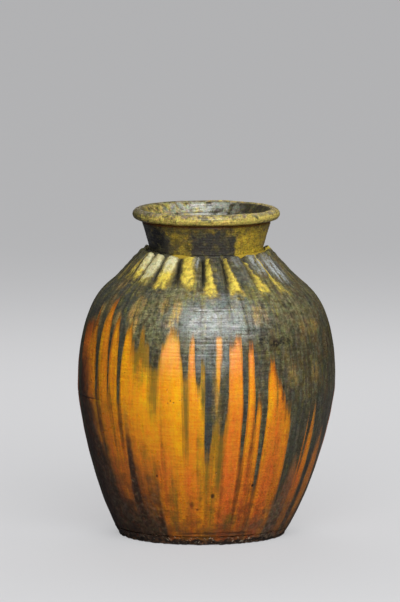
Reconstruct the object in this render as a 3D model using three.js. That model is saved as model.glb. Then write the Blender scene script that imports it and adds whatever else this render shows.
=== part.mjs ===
// A big jar-shaped vase of thick glazed stoneware: a swelling body on a narrow flat foot, a short
// flared neck with a rolled lip, and a ruff of clay ribs pressed on round the top of the shoulder.
// It is modelled as the potter's own pieces, which were luted together before the glaze went on:
// a base slab, three rings of wall, a neck, a lip and the ribs.
// Sizes are millimetres, +Z is up, the jar stands on z = 0 and its front faces -Y.

import * as THREE from "three";

// Outline of the body
const footRadius = 113.4;
const bellyRadius = 177;
const bellyHeight = 205;
const mouthRadius = 78.5;
const mouthHeight = 393;

// Where the outline's curves are pulled to, as shares of the step from one end to the other
const footPull = { out: 0.79, up: 0.42 };
const bellyPull = { down: 0.06, up: 0.86 };
const mouthPull = { out: 0.42, down: 0.285 };

// The foot sits a little to the left of the mouth, because the jar settled as it dried
const footLean = 6;
const leanPower = 1.4;

// Wall, base and the heights at which the rings of wall are luted together
const wallThickness = 9;
const baseThickness = 13;
const footEdge = 1.5;
const lowerSeamHeight = 187;
const upperSeamHeight = 268;

// Neck, measured from the mouth of the body, and the raised band just under its lip
const neckHeight = 41;
const neckFlare = 10;
const neckTopWall = 9.5;
const neckCollar = 4;
const neckBandHeight = 8;
const neckBandProud = 2;

// Rolled lip on the neck's top
const lipOverhang = 12.5;
const lipWidth = 17;
const lipThickness = 16;
const lipInnerTurn = 160;

// Ribs: creases read from the front in degrees from -Y towards +X, the rest shared out evenly
const frontCreases = [-65, -52, -37, -21.5, -2.5, 13.5, 32.5, 50.5];
const evenRibs = 15;
const creaseWobble = 1.3;
const ribLength = 76;
const ribRise = 11.8;
const ribToe = 1;
const ribCreaseShare = 0.25;
const ribTopShare = 0.3;
const ribCrestAt = 0.14;
const ribFallFrom = 0.12;
const ribSpacing = 0.6;
const clayGap = 0.3;

// Fineness of the faceted model
const turnSteps = 60;
const wallRowHeight = 22;
const shoulderRowHeight = 9;
const ribRowLength = 9;
const ribColumns = 4;
const lipSteps = 7;
const halvings = 40;

const degree = Math.PI / 180;
const glazeOrange = new THREE.MeshStandardMaterial({
  color: 0xd98520,
  roughness: 0.35,
  metalness: 0,
});
const glazeOlive = new THREE.MeshStandardMaterial({
  color: 0x4a4a38,
  roughness: 0.35,
  metalness: 0,
});
const glazeMustard = new THREE.MeshStandardMaterial({
  color: 0xa5912f,
  roughness: 0.4,
  metalness: 0,
});
const bareClay = new THREE.MeshStandardMaterial({
  color: 0x5a4433,
  roughness: 0.9,
  metalness: 0,
});

const lowerCurve = new THREE.CubicBezierCurve(
  new THREE.Vector2(footRadius, 0),
  new THREE.Vector2(
    THREE.MathUtils.lerp(footRadius, bellyRadius, footPull.out),
    bellyHeight * footPull.up,
  ),
  new THREE.Vector2(bellyRadius, bellyHeight * (1 - bellyPull.down)),
  new THREE.Vector2(bellyRadius, bellyHeight),
);

const upperCurve = new THREE.CubicBezierCurve(
  new THREE.Vector2(bellyRadius, bellyHeight),
  new THREE.Vector2(bellyRadius, THREE.MathUtils.lerp(bellyHeight, mouthHeight, bellyPull.up)),
  new THREE.Vector2(
    THREE.MathUtils.lerp(mouthRadius, bellyRadius, mouthPull.out),
    THREE.MathUtils.lerp(mouthHeight, bellyHeight, mouthPull.down),
  ),
  new THREE.Vector2(mouthRadius, mouthHeight),
);

// Radius of the outline at a height, found by halving, since both curves climb all the way
function radiusAt(height) {
  const curve = height < bellyHeight ? lowerCurve : upperCurve;
  let low = 0;
  let high = 1;
  for (let i = 0; i < halvings; i++) {
    const middle = (low + high) / 2;
    if (curve.getPoint(middle).y < height) low = middle;
    else high = middle;
  }
  return curve.getPoint(high).x;
}

// The wall keeps its thickness square to its surface, so it is wider where it slopes
function innerRadiusAt(height) {
  const step = 0.5;
  const low = Math.max(height - step, 0);
  const high = Math.min(height + step, mouthHeight);
  const slope = (radiusAt(high) - radiusAt(low)) / (high - low);
  return radiusAt(height) - wallThickness * Math.hypot(1, slope);
}

function leanAt(height) {
  const share = Math.max(1 - height / bellyHeight, 0);
  return -footLean * share ** leanPower;
}

// A closed outline of [radius, height] points, up the outside and down the inside, turned round the
// jar's axis. It closes on itself, or starts and ends on the axis.
function turnedSolid(outline) {
  const points = outline.map(([radius, height]) => new THREE.Vector2(radius, height));
  const closed = outline[0][0] > 0;
  if (closed) points.push(points[0].clone());
  const geometry = new THREE.LatheGeometry(points, turnSteps);
  geometry.rotateX(Math.PI / 2);
  const place = geometry.getAttribute("position");
  for (let i = 0; i < place.count; i++) {
    place.setX(i, place.getX(i) + leanAt(place.getZ(i)));
  }
  return geometry;
}

// Evenly spaced heights from low to high, close enough to follow the outline
function heightsBetween(low, high, rowHeight) {
  const rows = Math.ceil((high - low) / rowHeight);
  return Array.from({ length: rows + 1 }, (_, i) => THREE.MathUtils.lerp(low, high, i / rows));
}

// A ring of wall between two level joints
function wallRing(low, high, rowHeight) {
  const heights = heightsBetween(low, high, rowHeight);
  const outside = heights.map((height) => [radiusAt(height), height]);
  const inside = heights.map((height) => [innerRadiusAt(height), height]);
  return turnedSolid([...outside, ...inside.reverse()]);
}

function baseSlab() {
  return turnedSolid([
    [0, 0],
    [radiusAt(0) - footEdge, 0],
    [radiusAt(footEdge), footEdge],
    [radiusAt(baseThickness), baseThickness],
    [0, baseThickness],
  ]);
}

const neckTopHeight = mouthHeight + neckHeight;
const neckTopRadius = mouthRadius + neckFlare;
const neckTopInner = neckTopRadius - neckTopWall;

function neckRing() {
  const bandFoot = neckTopHeight - neckBandHeight;
  return turnedSolid([
    [mouthRadius, mouthHeight],
    [mouthRadius, mouthHeight + neckCollar],
    [neckTopRadius - neckBandProud, bandFoot - neckBandProud],
    [neckTopRadius, bandFoot],
    [neckTopRadius, neckTopHeight],
    [neckTopInner, neckTopHeight],
    [innerRadiusAt(mouthHeight), mouthHeight],
  ]);
}

// The lip is a roll of clay, oval in section, seated flat on the neck and drawn in to its throat
function lipRing() {
  const centreRadius = neckTopRadius + lipOverhang - lipWidth / 2;
  const centreHeight = neckTopHeight + lipThickness / 2;
  const outline = [[neckTopInner, neckTopHeight]];
  for (let i = 0; i <= lipSteps; i++) {
    const turn = THREE.MathUtils.lerp(-90, lipInnerTurn, i / lipSteps) * degree;
    outline.push([
      centreRadius + (lipWidth / 2) * Math.cos(turn),
      centreHeight + (lipThickness / 2) * Math.sin(turn),
    ]);
  }
  return turnedSolid(outline);
}

// The angles of all the creases between ribs, once round the jar
function creaseAngles() {
  const first = frontCreases[0];
  const last = frontCreases[frontCreases.length - 1];
  const pitch = (360 - (last - first)) / evenRibs;
  const angles = [...frontCreases];
  for (let i = 1; i < evenRibs; i++) {
    angles.push(last + pitch * i + creaseWobble * Math.sin(i * i));
  }
  angles.push(first + 360);
  return angles;
}

// How much of its full height a rib has at a share of its length from the neck
function ribFullness(share) {
  const top = THREE.MathUtils.lerp(ribTopShare, 1, THREE.MathUtils.smoothstep(share, 0, ribCrestAt));
  return top * (1 - THREE.MathUtils.smoothstep(share, ribFallFrom, 1));
}

// A strip of clay from one crease to the next. It follows the shoulder underneath and is half round
// on top, with its upper end leaning on the neck and its toe thinned out to nothing much.
function ribStrip(fromAngle, toAngle) {
  const corners = [];
  const ringSize = 2 * (ribColumns + 1);
  const rows = Math.ceil(ribLength / ribRowLength);
  const shoulderLength = upperCurve.getLength();
  const start = clayGap / -upperCurve.getTangent(1).x;
  for (let row = 0; row <= rows; row++) {
    const share = row / rows;
    const along = 1 - (start + ribLength * share) / shoulderLength;
    const floor = upperCurve.getPointAt(along);
    const radius = floor.x;
    const underside = floor.y - clayGap / upperCurve.getTangentAt(along).x;
    const inset = ribSpacing / 2 / radius / degree;
    const under = [];
    const over = [];
    for (let column = 0; column <= ribColumns; column++) {
      const across = column / ribColumns;
      const angle = THREE.MathUtils.lerp(fromAngle + inset, toAngle - inset, across) * degree;
      const round = Math.sqrt(Math.max(1 - (2 * across - 1) ** 2, 0));
      const swell = THREE.MathUtils.lerp(ribCreaseShare, 1, round);
      const x = radius * Math.sin(angle);
      const y = -radius * Math.cos(angle);
      under.push([x, y, underside]);
      over.push([x, y, underside + ribToe + ribRise * ribFullness(share) * swell]);
    }
    corners.push(...under, ...over.reverse());
  }
  const faces = [];
  const quad = (a, b, c, d) => faces.push(a, b, c, a, c, d);
  for (let row = 0; row < rows; row++) {
    for (let i = 0; i < ringSize; i++) {
      const next = (i + 1) % ringSize;
      const here = row * ringSize;
      const below = here + ringSize;
      quad(here + next, below + next, below + i, here + i);
    }
  }
  const lastRing = rows * ringSize;
  for (let column = 0; column < ribColumns; column++) {
    const opposite = ringSize - 1 - column;
    quad(opposite, opposite - 1, column + 1, column);
    quad(lastRing + column + 1, lastRing + opposite - 1, lastRing + opposite, lastRing + column);
  }
  const geometry = new THREE.BufferGeometry();
  geometry.setAttribute("position", new THREE.Float32BufferAttribute(corners.flat(), 3));
  geometry.setIndex(faces);
  geometry.computeVertexNormals();
  return geometry;
}

const jar = new THREE.Group();

function addPiece(name, geometry, material) {
  const mesh = new THREE.Mesh(geometry, material);
  mesh.name = name;
  jar.add(mesh);
}

addPiece("base_slab", baseSlab(), bareClay);
addPiece("lower_wall", wallRing(baseThickness, lowerSeamHeight, wallRowHeight), glazeOrange);
addPiece("belly_wall", wallRing(lowerSeamHeight, upperSeamHeight, wallRowHeight), glazeOrange);
addPiece("shoulder_wall", wallRing(upperSeamHeight, mouthHeight, shoulderRowHeight), glazeOlive);
addPiece("neck", neckRing(), glazeMustard);
addPiece("rolled_lip", lipRing(), glazeMustard);

const creases = creaseAngles();
for (let i = 0; i + 1 < creases.length; i++) {
  const number = String(i + 1).padStart(2, "0");
  addPiece("rib_" + number, ribStrip(creases[i], creases[i + 1]), glazeOlive);
}

export default jar;
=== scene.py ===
# %% [markdown]
# # A big glazed jar
#
# The object is a thrown stoneware jar: a swelling body on a narrow foot, a short flared neck with a
# rolled lip, and a ruff of clay ribs round the top of the shoulder. An amber glaze covers it, and a
# darker ash glaze was poured over the shoulder and ran down in streaks.
#
# A measured model of the jar already exists, and this script dresses it. The frame below loads that
# model, so the main sizes start from it. Lengths on the jar are written in millimetres, as a potter
# would give them, and become metres when a mesh is made. Distances in the room are in metres.

import math

import bpy
import numpy as np
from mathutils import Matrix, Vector


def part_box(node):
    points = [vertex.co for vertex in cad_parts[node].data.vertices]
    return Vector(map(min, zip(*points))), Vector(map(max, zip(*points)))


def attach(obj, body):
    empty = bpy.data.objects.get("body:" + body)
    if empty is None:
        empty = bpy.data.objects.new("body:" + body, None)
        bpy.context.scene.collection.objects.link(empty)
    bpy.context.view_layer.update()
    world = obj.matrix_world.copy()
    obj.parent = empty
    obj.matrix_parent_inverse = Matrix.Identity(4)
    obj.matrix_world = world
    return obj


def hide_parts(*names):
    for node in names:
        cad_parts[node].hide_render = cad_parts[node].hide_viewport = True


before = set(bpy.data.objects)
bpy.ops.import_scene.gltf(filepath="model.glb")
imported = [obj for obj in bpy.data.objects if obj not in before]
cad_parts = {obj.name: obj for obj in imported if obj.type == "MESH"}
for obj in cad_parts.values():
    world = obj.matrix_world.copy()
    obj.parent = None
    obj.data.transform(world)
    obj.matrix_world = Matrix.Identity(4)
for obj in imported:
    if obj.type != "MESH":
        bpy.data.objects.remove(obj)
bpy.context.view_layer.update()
mm = 0.001
print("measured pieces:", len(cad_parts))

# %% [markdown]
# ## The camera
#
# The jar is seen from slightly above, from far enough away that its far rim and near rim look alike.
# A long lens does that. The camera stands on a line through the jar's middle and then turns a little
# upwards, so that the jar sits low in a tall picture.

# %% Set up the camera
camera_lift = math.radians(7.7)
camera_distance = 9.0
picture_height = 0.8254
sensor_height = 36.0
jar_middle = Vector((0, 0, 0.225))
looks_at = Vector((-0.0085, 0.0128, 0.3193))

camera = bpy.data.objects.new("camera", bpy.data.cameras.new("camera"))
bpy.context.scene.collection.objects.link(camera)
towards_camera = Vector((0, -math.cos(camera_lift), math.sin(camera_lift)))
camera.location = jar_middle + camera_distance * towards_camera
camera.rotation_euler = (looks_at - camera.location).to_track_quat("-Z", "Y").to_euler()
camera.data.sensor_fit = "VERTICAL"
camera.data.sensor_height = sensor_height
camera.data.lens = sensor_height * camera_distance / picture_height
camera.data.clip_end = 100
bpy.context.scene.camera = camera
print("lens:", round(camera.data.lens), "mm")

# %% [markdown]
# ## The outline
#
# A thrown pot is an outline turned round an axis. The heights of its joints and its widest radius are
# read from the boxes of the measured pieces. The other sizes aren't the top of any box, so they are
# written here.

# %% Read the main sizes
def top_of(node):
    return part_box(node)[1] / mm


base_top = top_of("base_slab").z
lower_seam = top_of("lower_wall").z
upper_seam = top_of("belly_wall").z
mouth_height = top_of("shoulder_wall").z
neck_top = top_of("neck").z
belly_radius = top_of("belly_wall").x
belly_height = 205.0
foot_radius = 113.4
mouth_radius = 78.5
wall_thickness = 9.0
joints = (base_top, lower_seam, upper_seam, mouth_height, neck_top)
print("joints at", [round(height, 1) for height in joints])

# %% [markdown]
# Two Bezier curves meet at the widest point: one climbs from the foot, the other bends in over the
# shoulder to the mouth. Each has two handles that pull it outwards. Their places are shares of the way
# across and of the way up, so the curve keeps its character when a size changes.

# %% Draw the outline
curve_steps = 3000
foot_handle = (0.79, 0.42)
under_belly_handle = 0.94
over_belly_handle = 0.86
mouth_handle = (0.42, 0.285)


def bezier(start, pull_out, pull_in, end):
    t = np.linspace(0, 1, curve_steps + 1)[:, None]
    corners = [np.array(corner, float) for corner in (start, pull_out, pull_in, end)]
    weights = ((1 - t) ** 3, 3 * t * (1 - t) ** 2, 3 * t**2 * (1 - t), t**3)
    return sum(weight * corner for weight, corner in zip(weights, corners))


def jar_outline():
    """Points of (radius, height) from the foot to the mouth."""
    foot_to_belly = belly_radius - foot_radius
    mouth_to_belly = belly_radius - mouth_radius
    rise = mouth_height - belly_height
    lower = bezier(
        (foot_radius, 0),
        (foot_radius + foot_handle[0] * foot_to_belly, foot_handle[1] * belly_height),
        (belly_radius, under_belly_handle * belly_height),
        (belly_radius, belly_height),
    )
    upper = bezier(
        (belly_radius, belly_height),
        (belly_radius, belly_height + over_belly_handle * rise),
        (mouth_radius + mouth_handle[0] * mouth_to_belly, mouth_height - mouth_handle[1] * rise),
        (mouth_radius, mouth_height),
    )
    return np.vstack([lower, upper[1:]])


outline = jar_outline()
print("outline:", len(outline), "points")

# %% [markdown]
# Three small readers look values up on the outline: the radius at a height, the length of wall from
# the foot up to a height, and the point at such a length. The rows of a mesh are spaced by length,
# because equal steps in height would leave too few rows on the flat part of the shoulder.

# %% Measure along the outline
outline_length = np.concatenate([[0], np.cumsum(np.hypot(*np.diff(outline, axis=0).T))])


def radius_at(height):
    return np.interp(height, outline[:, 1], outline[:, 0])


def length_at(height):
    return np.interp(height, outline[:, 1], outline_length)


def outline_at(length):
    return np.stack([np.interp(length, outline_length, outline[:, axis]) for axis in (0, 1)], -1)


print("wall:", round(outline_length[-1]), "mm from foot to mouth")

# %% [markdown]
# The jar isn't quite straight. Its foot sits a few millimetres to the left of its mouth, because a
# heavy pot settles while it is wet, and the shoulder swings a little to the right. So every height
# gets a middle of its own.

# %% Let the jar lean
foot_lean = 6.0
lean_power = 1.4
shoulder_swing = 0.9
swing_begins = (190, 250)
swing_ends = (322, 358)


def rising(value, low, high):
    """0 below low and 1 above high, with a soft step between."""
    share = np.clip((value - low) / (high - low), 0, 1)
    return share * share * (3 - 2 * share)


def falling(value, low, high):
    """1 below low and 0 above high, with a soft step between."""
    return rising(-value, -high, -low)


def lean_at(height):
    """How far to the right of the axis the jar's middle stands."""
    settled = -foot_lean * np.maximum(1 - height / belly_height, 0) ** lean_power
    return settled + shoulder_swing * rising(height, *swing_begins) * falling(height, *swing_ends)


print("the foot's middle:", round(float(lean_at(0)), 1), "mm")

# %% [markdown]
# ## The potter's hand
#
# No thrown wall is a perfect curve. Fingers leave a shallow spiral of throwing rings, and the wall
# sways by half a millimetre. These are real dents, so they are moved into the mesh instead of being
# faked by shading. Sums of seeded sine waves are enough: they are smooth, never repeat visibly and
# come out the same every time.

# %% Make an uneven field
def sway(points, size, seed, waves=20):
    """A smooth uneven field with bumps of about the given size, mostly between -1 and 1."""
    draw = np.random.default_rng(seed)
    ways = draw.normal(size=(waves, 3))
    ways *= (draw.uniform(0.6, 1.5, waves) / np.linalg.norm(ways, axis=1))[:, None]
    starts = draw.uniform(0, 2 * np.pi, waves)
    total = np.zeros(points.shape[:-1])
    for way, start in zip(ways, starts):
        total += np.sin(points @ (way * 2 * np.pi / size) + start)
    return total / math.sqrt(waves)


climb = np.array([[0, 0, height] for height in (0.0, 60.0, 120.0)])
print("sway up the axis:", sway(climb, 120, 1).round(2))

# %% [markdown]
# Where two rings of clay were luted together there is a thin line, and the wheel left level scratches
# on the shoulder. Each entry below gives the height of a line, the angles where it begins and ends,
# its depth and its half width. Angles are in degrees, with 0 in front and 90 at the right.
#
# The whole surface is set in a little, so that no bump stands out beyond the measured size.

# %% Describe the relief of the wall
ring_pitch = 4.6
ring_depth = 0.025
extra_ring_depth = 0.02
deep_rings_begin = (215, 250)
deep_rings_end = (335, 352)
hand_inset = 0.9
line_fade = 8
crack_height = 197.0
seam_lines = [
    (17.0, -12, 33, 0.8, 0.9), (crack_height, -110, -52, 0.9, 0.9), (lower_seam, -200, -120, 0.6, 0.8),
    (lower_seam + 1, 120, 200, 0.5, 0.8), (upper_seam, 12, 64, 0.5, 0.9), (295.0, 12, 31, 0.6, 0.8),
    (327.0, -10, 20, 0.3, 0.8), (318.0, -7, 16, 0.25, 0.7), (311.0, -12, 24, 0.4, 0.9),
    (303.0, -18, 12, 0.3, 0.7), (284.0, -14, 22, 0.25, 0.7), (271.0, -38, 44, 0.3, 0.7),
    (262.0, -34, 26, 0.22, 0.7), (250.0, -35, 10, 0.25, 0.8), (233.0, -48, -8, 0.2, 0.8),
    (146.0, -34, -12, 0.25, 0.8),
]


def relief(points, angle, height):
    """How far the hand moved the wall's surface outwards, in millimetres."""
    on_shoulder = rising(height, *deep_rings_begin) * falling(height, *deep_rings_end)
    depth = ring_depth + extra_ring_depth * on_shoulder
    uneven_pitch = 0.5 * np.sin(height / 17) + 0.25 * np.sin(height / 6.3 + 1)
    turn = height / ring_pitch + angle / 360 + uneven_pitch
    moved = depth * np.cos(2 * np.pi * turn) * (1 + 0.9 * sway(points, 45, 3))
    moved += 0.38 * sway(points, 120, 1) + 0.12 * sway(points, 32, 2)
    for at, first, last, line_depth, width in seam_lines:
        wander = at + 0.5 * np.sin(np.radians(angle * 3 + at)) + 0.25 * np.sin(np.radians(angle * 11))
        here = rising(angle, first, first + line_fade) * falling(angle, last - line_fade, last)
        moved -= line_depth * here * np.exp(-(((height - wander) / width) ** 2))
    return moved - hand_inset


belly_front = np.array([[0.0, -belly_radius, belly_height]])
print("relief in front of the belly:", relief(belly_front, 0.0, belly_height).round(2), "mm")

# %% [markdown]
# ## From an outline to a mesh
#
# Every turned piece is a grid: rows climb the outside, cross the top joint, go down the inside and
# close underneath, and columns go round. One helper turns the grid into a mesh with no gap in it, so
# each piece is a solid that could be printed. Edges sharper than a set angle stay crisp when shaded.

# %% Make meshes from grids
crisp_angle = math.radians(50)


def make_piece(name, points, faces):
    mesh = bpy.data.meshes.new(name)
    mesh.from_pydata(points * mm, [], faces)
    mesh.polygons.foreach_set("use_smooth", [True] * len(mesh.polygons))
    mesh.set_sharp_from_angle(angle=crisp_angle)
    piece = bpy.data.objects.new(name, mesh)
    bpy.context.scene.collection.objects.link(piece)
    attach(piece, "root")
    return piece


def grid_faces(rows, columns, closed):
    """Quads between neighbouring rows, all the way round. A closed grid joins its last row to its first."""
    row_numbers = np.arange(rows if closed else rows - 1)
    row, column = np.meshgrid(row_numbers, np.arange(columns), indexing="ij")
    here, above = row * columns, (row + 1) % rows * columns
    beside = (column + 1) % columns
    corners = (here + column, here + beside, above + beside, above + column)
    return np.stack(corners, -1).reshape(-1, 4).tolist()


print("faces of a small closed grid:", len(grid_faces(4, 8, closed=True)))

# %% [markdown]
# The points of a grid come from an outline and are then pushed out or in by the relief. A push goes
# square to the outline, so the helper needs the direction in which the outline climbs.

# %% Turn an outline and push its surface
slope_reach = 0.6


def turned_points(radius, height, columns):
    """Points of a turned grid, with the angle of each in degrees."""
    angle = np.linspace(-180, 180, columns, endpoint=False)[None, :]
    radius, height, angle = np.broadcast_arrays(radius[:, None], height[:, None], angle)
    turn = np.radians(angle)
    points = np.stack([radius * np.sin(turn) + lean_at(height), -radius * np.cos(turn), height], -1)
    return points, angle


def push_out(points, angle, slope, amount):
    """Moves points square to the outline. Each row has a slope, as a (radius, height) direction."""
    turn = np.radians(angle)
    outward, upward = slope[:, None, 1], -slope[:, None, 0]
    moved = points.copy()
    moved[..., 0] += amount * outward * np.sin(turn)
    moved[..., 1] -= amount * outward * np.cos(turn)
    moved[..., 2] += amount * upward
    return moved


def outline_slope(height, inside=False):
    """Direction in which the outline climbs, or comes down on the inside."""
    low = np.clip(height - slope_reach, 0, mouth_height)
    high = np.clip(height + slope_reach, 0, mouth_height)
    run = np.stack([radius_at(high) - radius_at(low), high - low], -1)
    run /= np.linalg.norm(run, axis=-1, keepdims=True)
    return -run if inside else run


def inner_radius_at(height):
    run = outline_slope(height)
    return radius_at(height) - wall_thickness / run[..., 1]


print("inner radius at the belly:", round(float(inner_radius_at(np.array(belly_height))), 1), "mm")

# %% [markdown]
# ## Three rings of wall
#
# A jar this big isn't thrown in one go. The wall is three rings of clay, luted together while they
# are leather hard, and each ring is one piece here. Its entry gives where it starts and ends, the gap
# between its rows and the number of its columns. Rows lie closest from the belly up, where light rakes
# across the throwing rings.

# %% Make the walls
inside_row_gap = 5.0
inside_unevenness = 0.8
wall_rings = {
    "lower_wall": (base_top, lower_seam, 1.3, 500),
    "belly_wall": (lower_seam, upper_seam, 1.0, 600),
    "shoulder_wall": (upper_seam, mouth_height, 1.0, 520),
}


def wall_ring(name, low, high, row_gap, columns):
    rows = math.ceil((length_at(high) - length_at(low)) / row_gap)
    outside = outline_at(np.linspace(length_at(low), length_at(high), rows + 1))
    inside_height = np.linspace(high, low, math.ceil((high - low) / inside_row_gap) + 1)
    radius = np.concatenate([outside[:, 0], inner_radius_at(inside_height)])
    height = np.concatenate([outside[:, 1], inside_height])
    slope = np.vstack([outline_slope(outside[:, 1]), outline_slope(inside_height, inside=True)])
    points, angle = turned_points(radius, height, columns)
    moved = relief(points, angle, points[..., 2])
    is_inside = np.arange(len(radius)) > rows
    moved[is_inside] = inside_unevenness * (moved[is_inside] + hand_inset)
    points = push_out(points, angle, slope, moved)
    return make_piece(name, points.reshape(-1, 3), grid_faces(len(radius), columns, closed=True))


walls = {}
for node, sizes in wall_rings.items():
    walls[node] = wall_ring(f"jar_{node}", *sizes)
    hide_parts(node)
    print(walls[node].name, len(walls[node].data.polygons), "faces")

# %% [markdown]
# ## The base
#
# The slab under the jar was cut off the wheel and left bare. The underside is a little hollow, so that
# the jar stands on an outer ring. Its outline starts in the middle of the underside, goes round the
# edge and up the side, and comes back over the top, where a groove shows the joint.

# %% Draw the base's outline
foot_ring_width = 26.0
hollow_depth = 1.2
hollow_step = 8.0
foot_round = 2.6
middle_radius = 4.0
side_row_gap = 0.8
groove_depth = 1.6


def base_outline():
    stand = foot_radius - foot_ring_width
    joint_radius = radius_at(base_top)
    under = [(r, hollow_depth) for r in np.linspace(middle_radius, stand - hollow_step, 16)]
    under += [(r, 0.0) for r in np.linspace(stand, foot_radius - foot_round, 14)]
    turn = np.radians(np.linspace(-75, 0, 6))
    centre = radius_at(foot_round) - foot_round
    edge = [(centre + foot_round * math.cos(a), foot_round * (1 + math.sin(a))) for a in turn]
    side_heights = np.arange(foot_round + side_row_gap, base_top - 0.9, side_row_gap)
    side = [(radius_at(height), height) for height in side_heights]
    joint = [(joint_radius - 0.2, base_top - 0.5), (joint_radius - groove_depth, base_top)]
    top = [(r, base_top) for r in np.linspace(joint_radius - 12, middle_radius, 16)]
    return np.array(under + edge + side + joint + top)


base_profile = base_outline()
print("base outline:", len(base_profile), "points")

# %% [markdown]
# The edge of the base is worn and chipped, because that is where a heavy jar gets knocked. The chips
# are the low parts of an uneven field, cut out of the lowest few millimetres. One point closes the
# slab in the middle of the underside, and another one in the middle of the top.

# %% Make the base slab
base_columns = 480
chip_band = (2, 9)
chip_size = 15
chip_depth = 1.5
edge_wear = 0.75


def capped_faces(rows, columns):
    """A turned skin whose first and last points lie on the axis, as single points."""
    faces = grid_faces(rows, columns, closed=False)
    first, last = rows * columns, rows * columns + 1
    top = (rows - 1) * columns
    for column in range(columns):
        beside = (column + 1) % columns
        faces.append((first, beside, column))
        faces.append((last, top + column, top + beside))
    return faces


def base_slab():
    radius, height = base_profile.T
    points, angle = turned_points(radius, height, base_columns)
    slope = np.gradient(base_profile, axis=0)
    slope /= np.linalg.norm(slope, axis=-1, keepdims=True)
    on_side = rising(radius, foot_radius - 9, foot_radius - 2)[:, None]
    low_down = falling(height, *chip_band)[:, None]
    chips = np.minimum(sway(points, chip_size, 11) + 0.5 * sway(points, 6, 12) + 0.35, 0)
    moved = on_side * (0.25 * sway(points, 9, 13) - edge_wear + chip_depth * chips * low_down)
    points = push_out(points, angle, slope, moved)
    points[..., 2] = np.maximum(points[..., 2], 0)
    ends = np.array([[lean_at(0), 0, hollow_depth], [lean_at(base_top), 0, base_top]])
    skin = np.vstack([points.reshape(-1, 3), ends])
    return make_piece("jar_base", skin, capped_faces(len(base_profile), base_columns))


jar_base = base_slab()
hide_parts("base_slab")
print(jar_base.name, len(jar_base.data.polygons), "faces")

# %% [markdown]
# ## The neck and the lip
#
# Both are turned grids again, with their own outlines. An outline is a few corners joined by straight
# runs, and easing rounds the corners off. The same helper makes both rings, with faint throwing rings
# on them.

# %% Prepare turned rings
ring_pitch_above = 3.7
ring_depth_above = 0.1
above_inset = 0.8


def path_between(corners, gap):
    """Points along straight runs between corners, about one gap apart."""
    corners = [np.array(corner, float) for corner in corners]
    runs = []
    for start, end in zip(corners, corners[1:]):
        steps = max(1, round(np.linalg.norm(end - start) / gap))
        runs.append(start + (end - start) * np.arange(steps)[:, None] / steps)
    return np.vstack(runs + [corners[-1][None]])


def eased(profile, times):
    """Rounds the corners of an open profile by averaging neighbours, with its two ends kept."""
    for _ in range(times):
        profile[1:-1] = (profile[:-2] + 2 * profile[1:-1] + profile[2:]) / 4
    return profile


def turned_ring(name, outside, inside, columns, uneven, seed):
    """A closed ring from an outside profile going up and an inside profile coming down."""
    profile = np.vstack([outside, inside])
    slope = np.vstack([np.gradient(outside, axis=0), np.gradient(inside, axis=0)])
    slope /= np.linalg.norm(slope, axis=-1, keepdims=True)
    points, angle = turned_points(profile[:, 0], profile[:, 1], columns)
    moved = uneven * (0.5 * sway(points, 60, seed) + 0.25 * sway(points, 17, seed + 1) - above_inset)
    rings = ring_depth_above * np.cos(2 * np.pi * (points[..., 2] / ring_pitch_above + angle / 360))
    points = push_out(points, angle, slope, moved + rings)
    return make_piece(name, points.reshape(-1, 3), grid_faces(len(profile), columns, closed=True))


print("a run of 10 mm has", len(path_between([(0, 0), (10, 0)], 1.0)), "points")

# %% [markdown]
# The neck was thrown onto the finished shoulder. It stands upright at its foot, flares slightly and
# ends in a narrow raised band under the lip.

# %% Make the neck
neck_flare = 10.0
neck_collar = 4.0
band_height = 8.0
band_proud = 2.0
neck_top_wall = 9.5
neck_top_radius = mouth_radius + neck_flare
throat_radius = neck_top_radius - neck_top_wall
band_foot = neck_top - band_height
neck_corners = [
    (mouth_radius, mouth_height),
    (mouth_radius + 0.2, mouth_height + neck_collar),
    (neck_top_radius - band_proud - 0.2, band_foot - 3),
    (neck_top_radius - 0.4, band_foot + 1.5),
    (neck_top_radius + 0.3, neck_top - 2),
    (neck_top_radius - 1.5, neck_top),
]
throat_corners = [
    (throat_radius, neck_top),
    (throat_radius - 3, neck_top - 12),
    (inner_radius_at(np.array(mouth_height)), mouth_height),
]
neck_outside = eased(path_between(neck_corners, 0.8), 12)
neck_inside = eased(path_between(throat_corners, 1.6), 6)
jar_neck = turned_ring("jar_neck", neck_outside, neck_inside, columns=420, uneven=0.7, seed=31)
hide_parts("neck")
print(jar_neck.name, len(jar_neck.data.polygons), "faces")

# %% [markdown]
# The lip is a roll of clay folded outwards, oval in section, with a soft crease on top where it turns
# in to the throat. Its outline is part of an oval, from under the overhang round to the throat, and a
# flat seat joins it to the neck.

# %% Make the lip
lip_overhang = 12.5
lip_width = 17.0
lip_thickness = 16.0
lip_sink = 0.3
lip_first_turn = -118
lip_last_turn = 160
crease_turn = 118
crease_depth = 0.7
lip_middle = (neck_top_radius + lip_overhang - lip_width / 2, neck_top + lip_thickness / 2 - lip_sink)
lip_turn = np.radians(np.linspace(lip_first_turn, lip_last_turn, 64))
lip_oval = np.stack([lip_width / 2 * np.cos(lip_turn), lip_thickness / 2 * np.sin(lip_turn)], -1)
lip_roll = np.array(lip_middle) + lip_oval
lip_roll[:, 1] -= crease_depth * np.exp(-(((np.degrees(lip_turn) - crease_turn) / 7) ** 2))
lip_seat = path_between([(throat_radius, neck_top), (lip_roll[0, 0] - 2, neck_top)], 1.5)
lip_outside = np.vstack([lip_seat, lip_roll])
lip_inside = path_between([lip_roll[-1], (throat_radius, neck_top)], 1.2)[1:-1]
jar_lip = turned_ring("jar_lip", lip_outside, lip_inside, columns=480, uneven=0.4, seed=41)
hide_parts("rolled_lip")
print(jar_lip.name, len(jar_lip.data.polygons), "faces")

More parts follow.
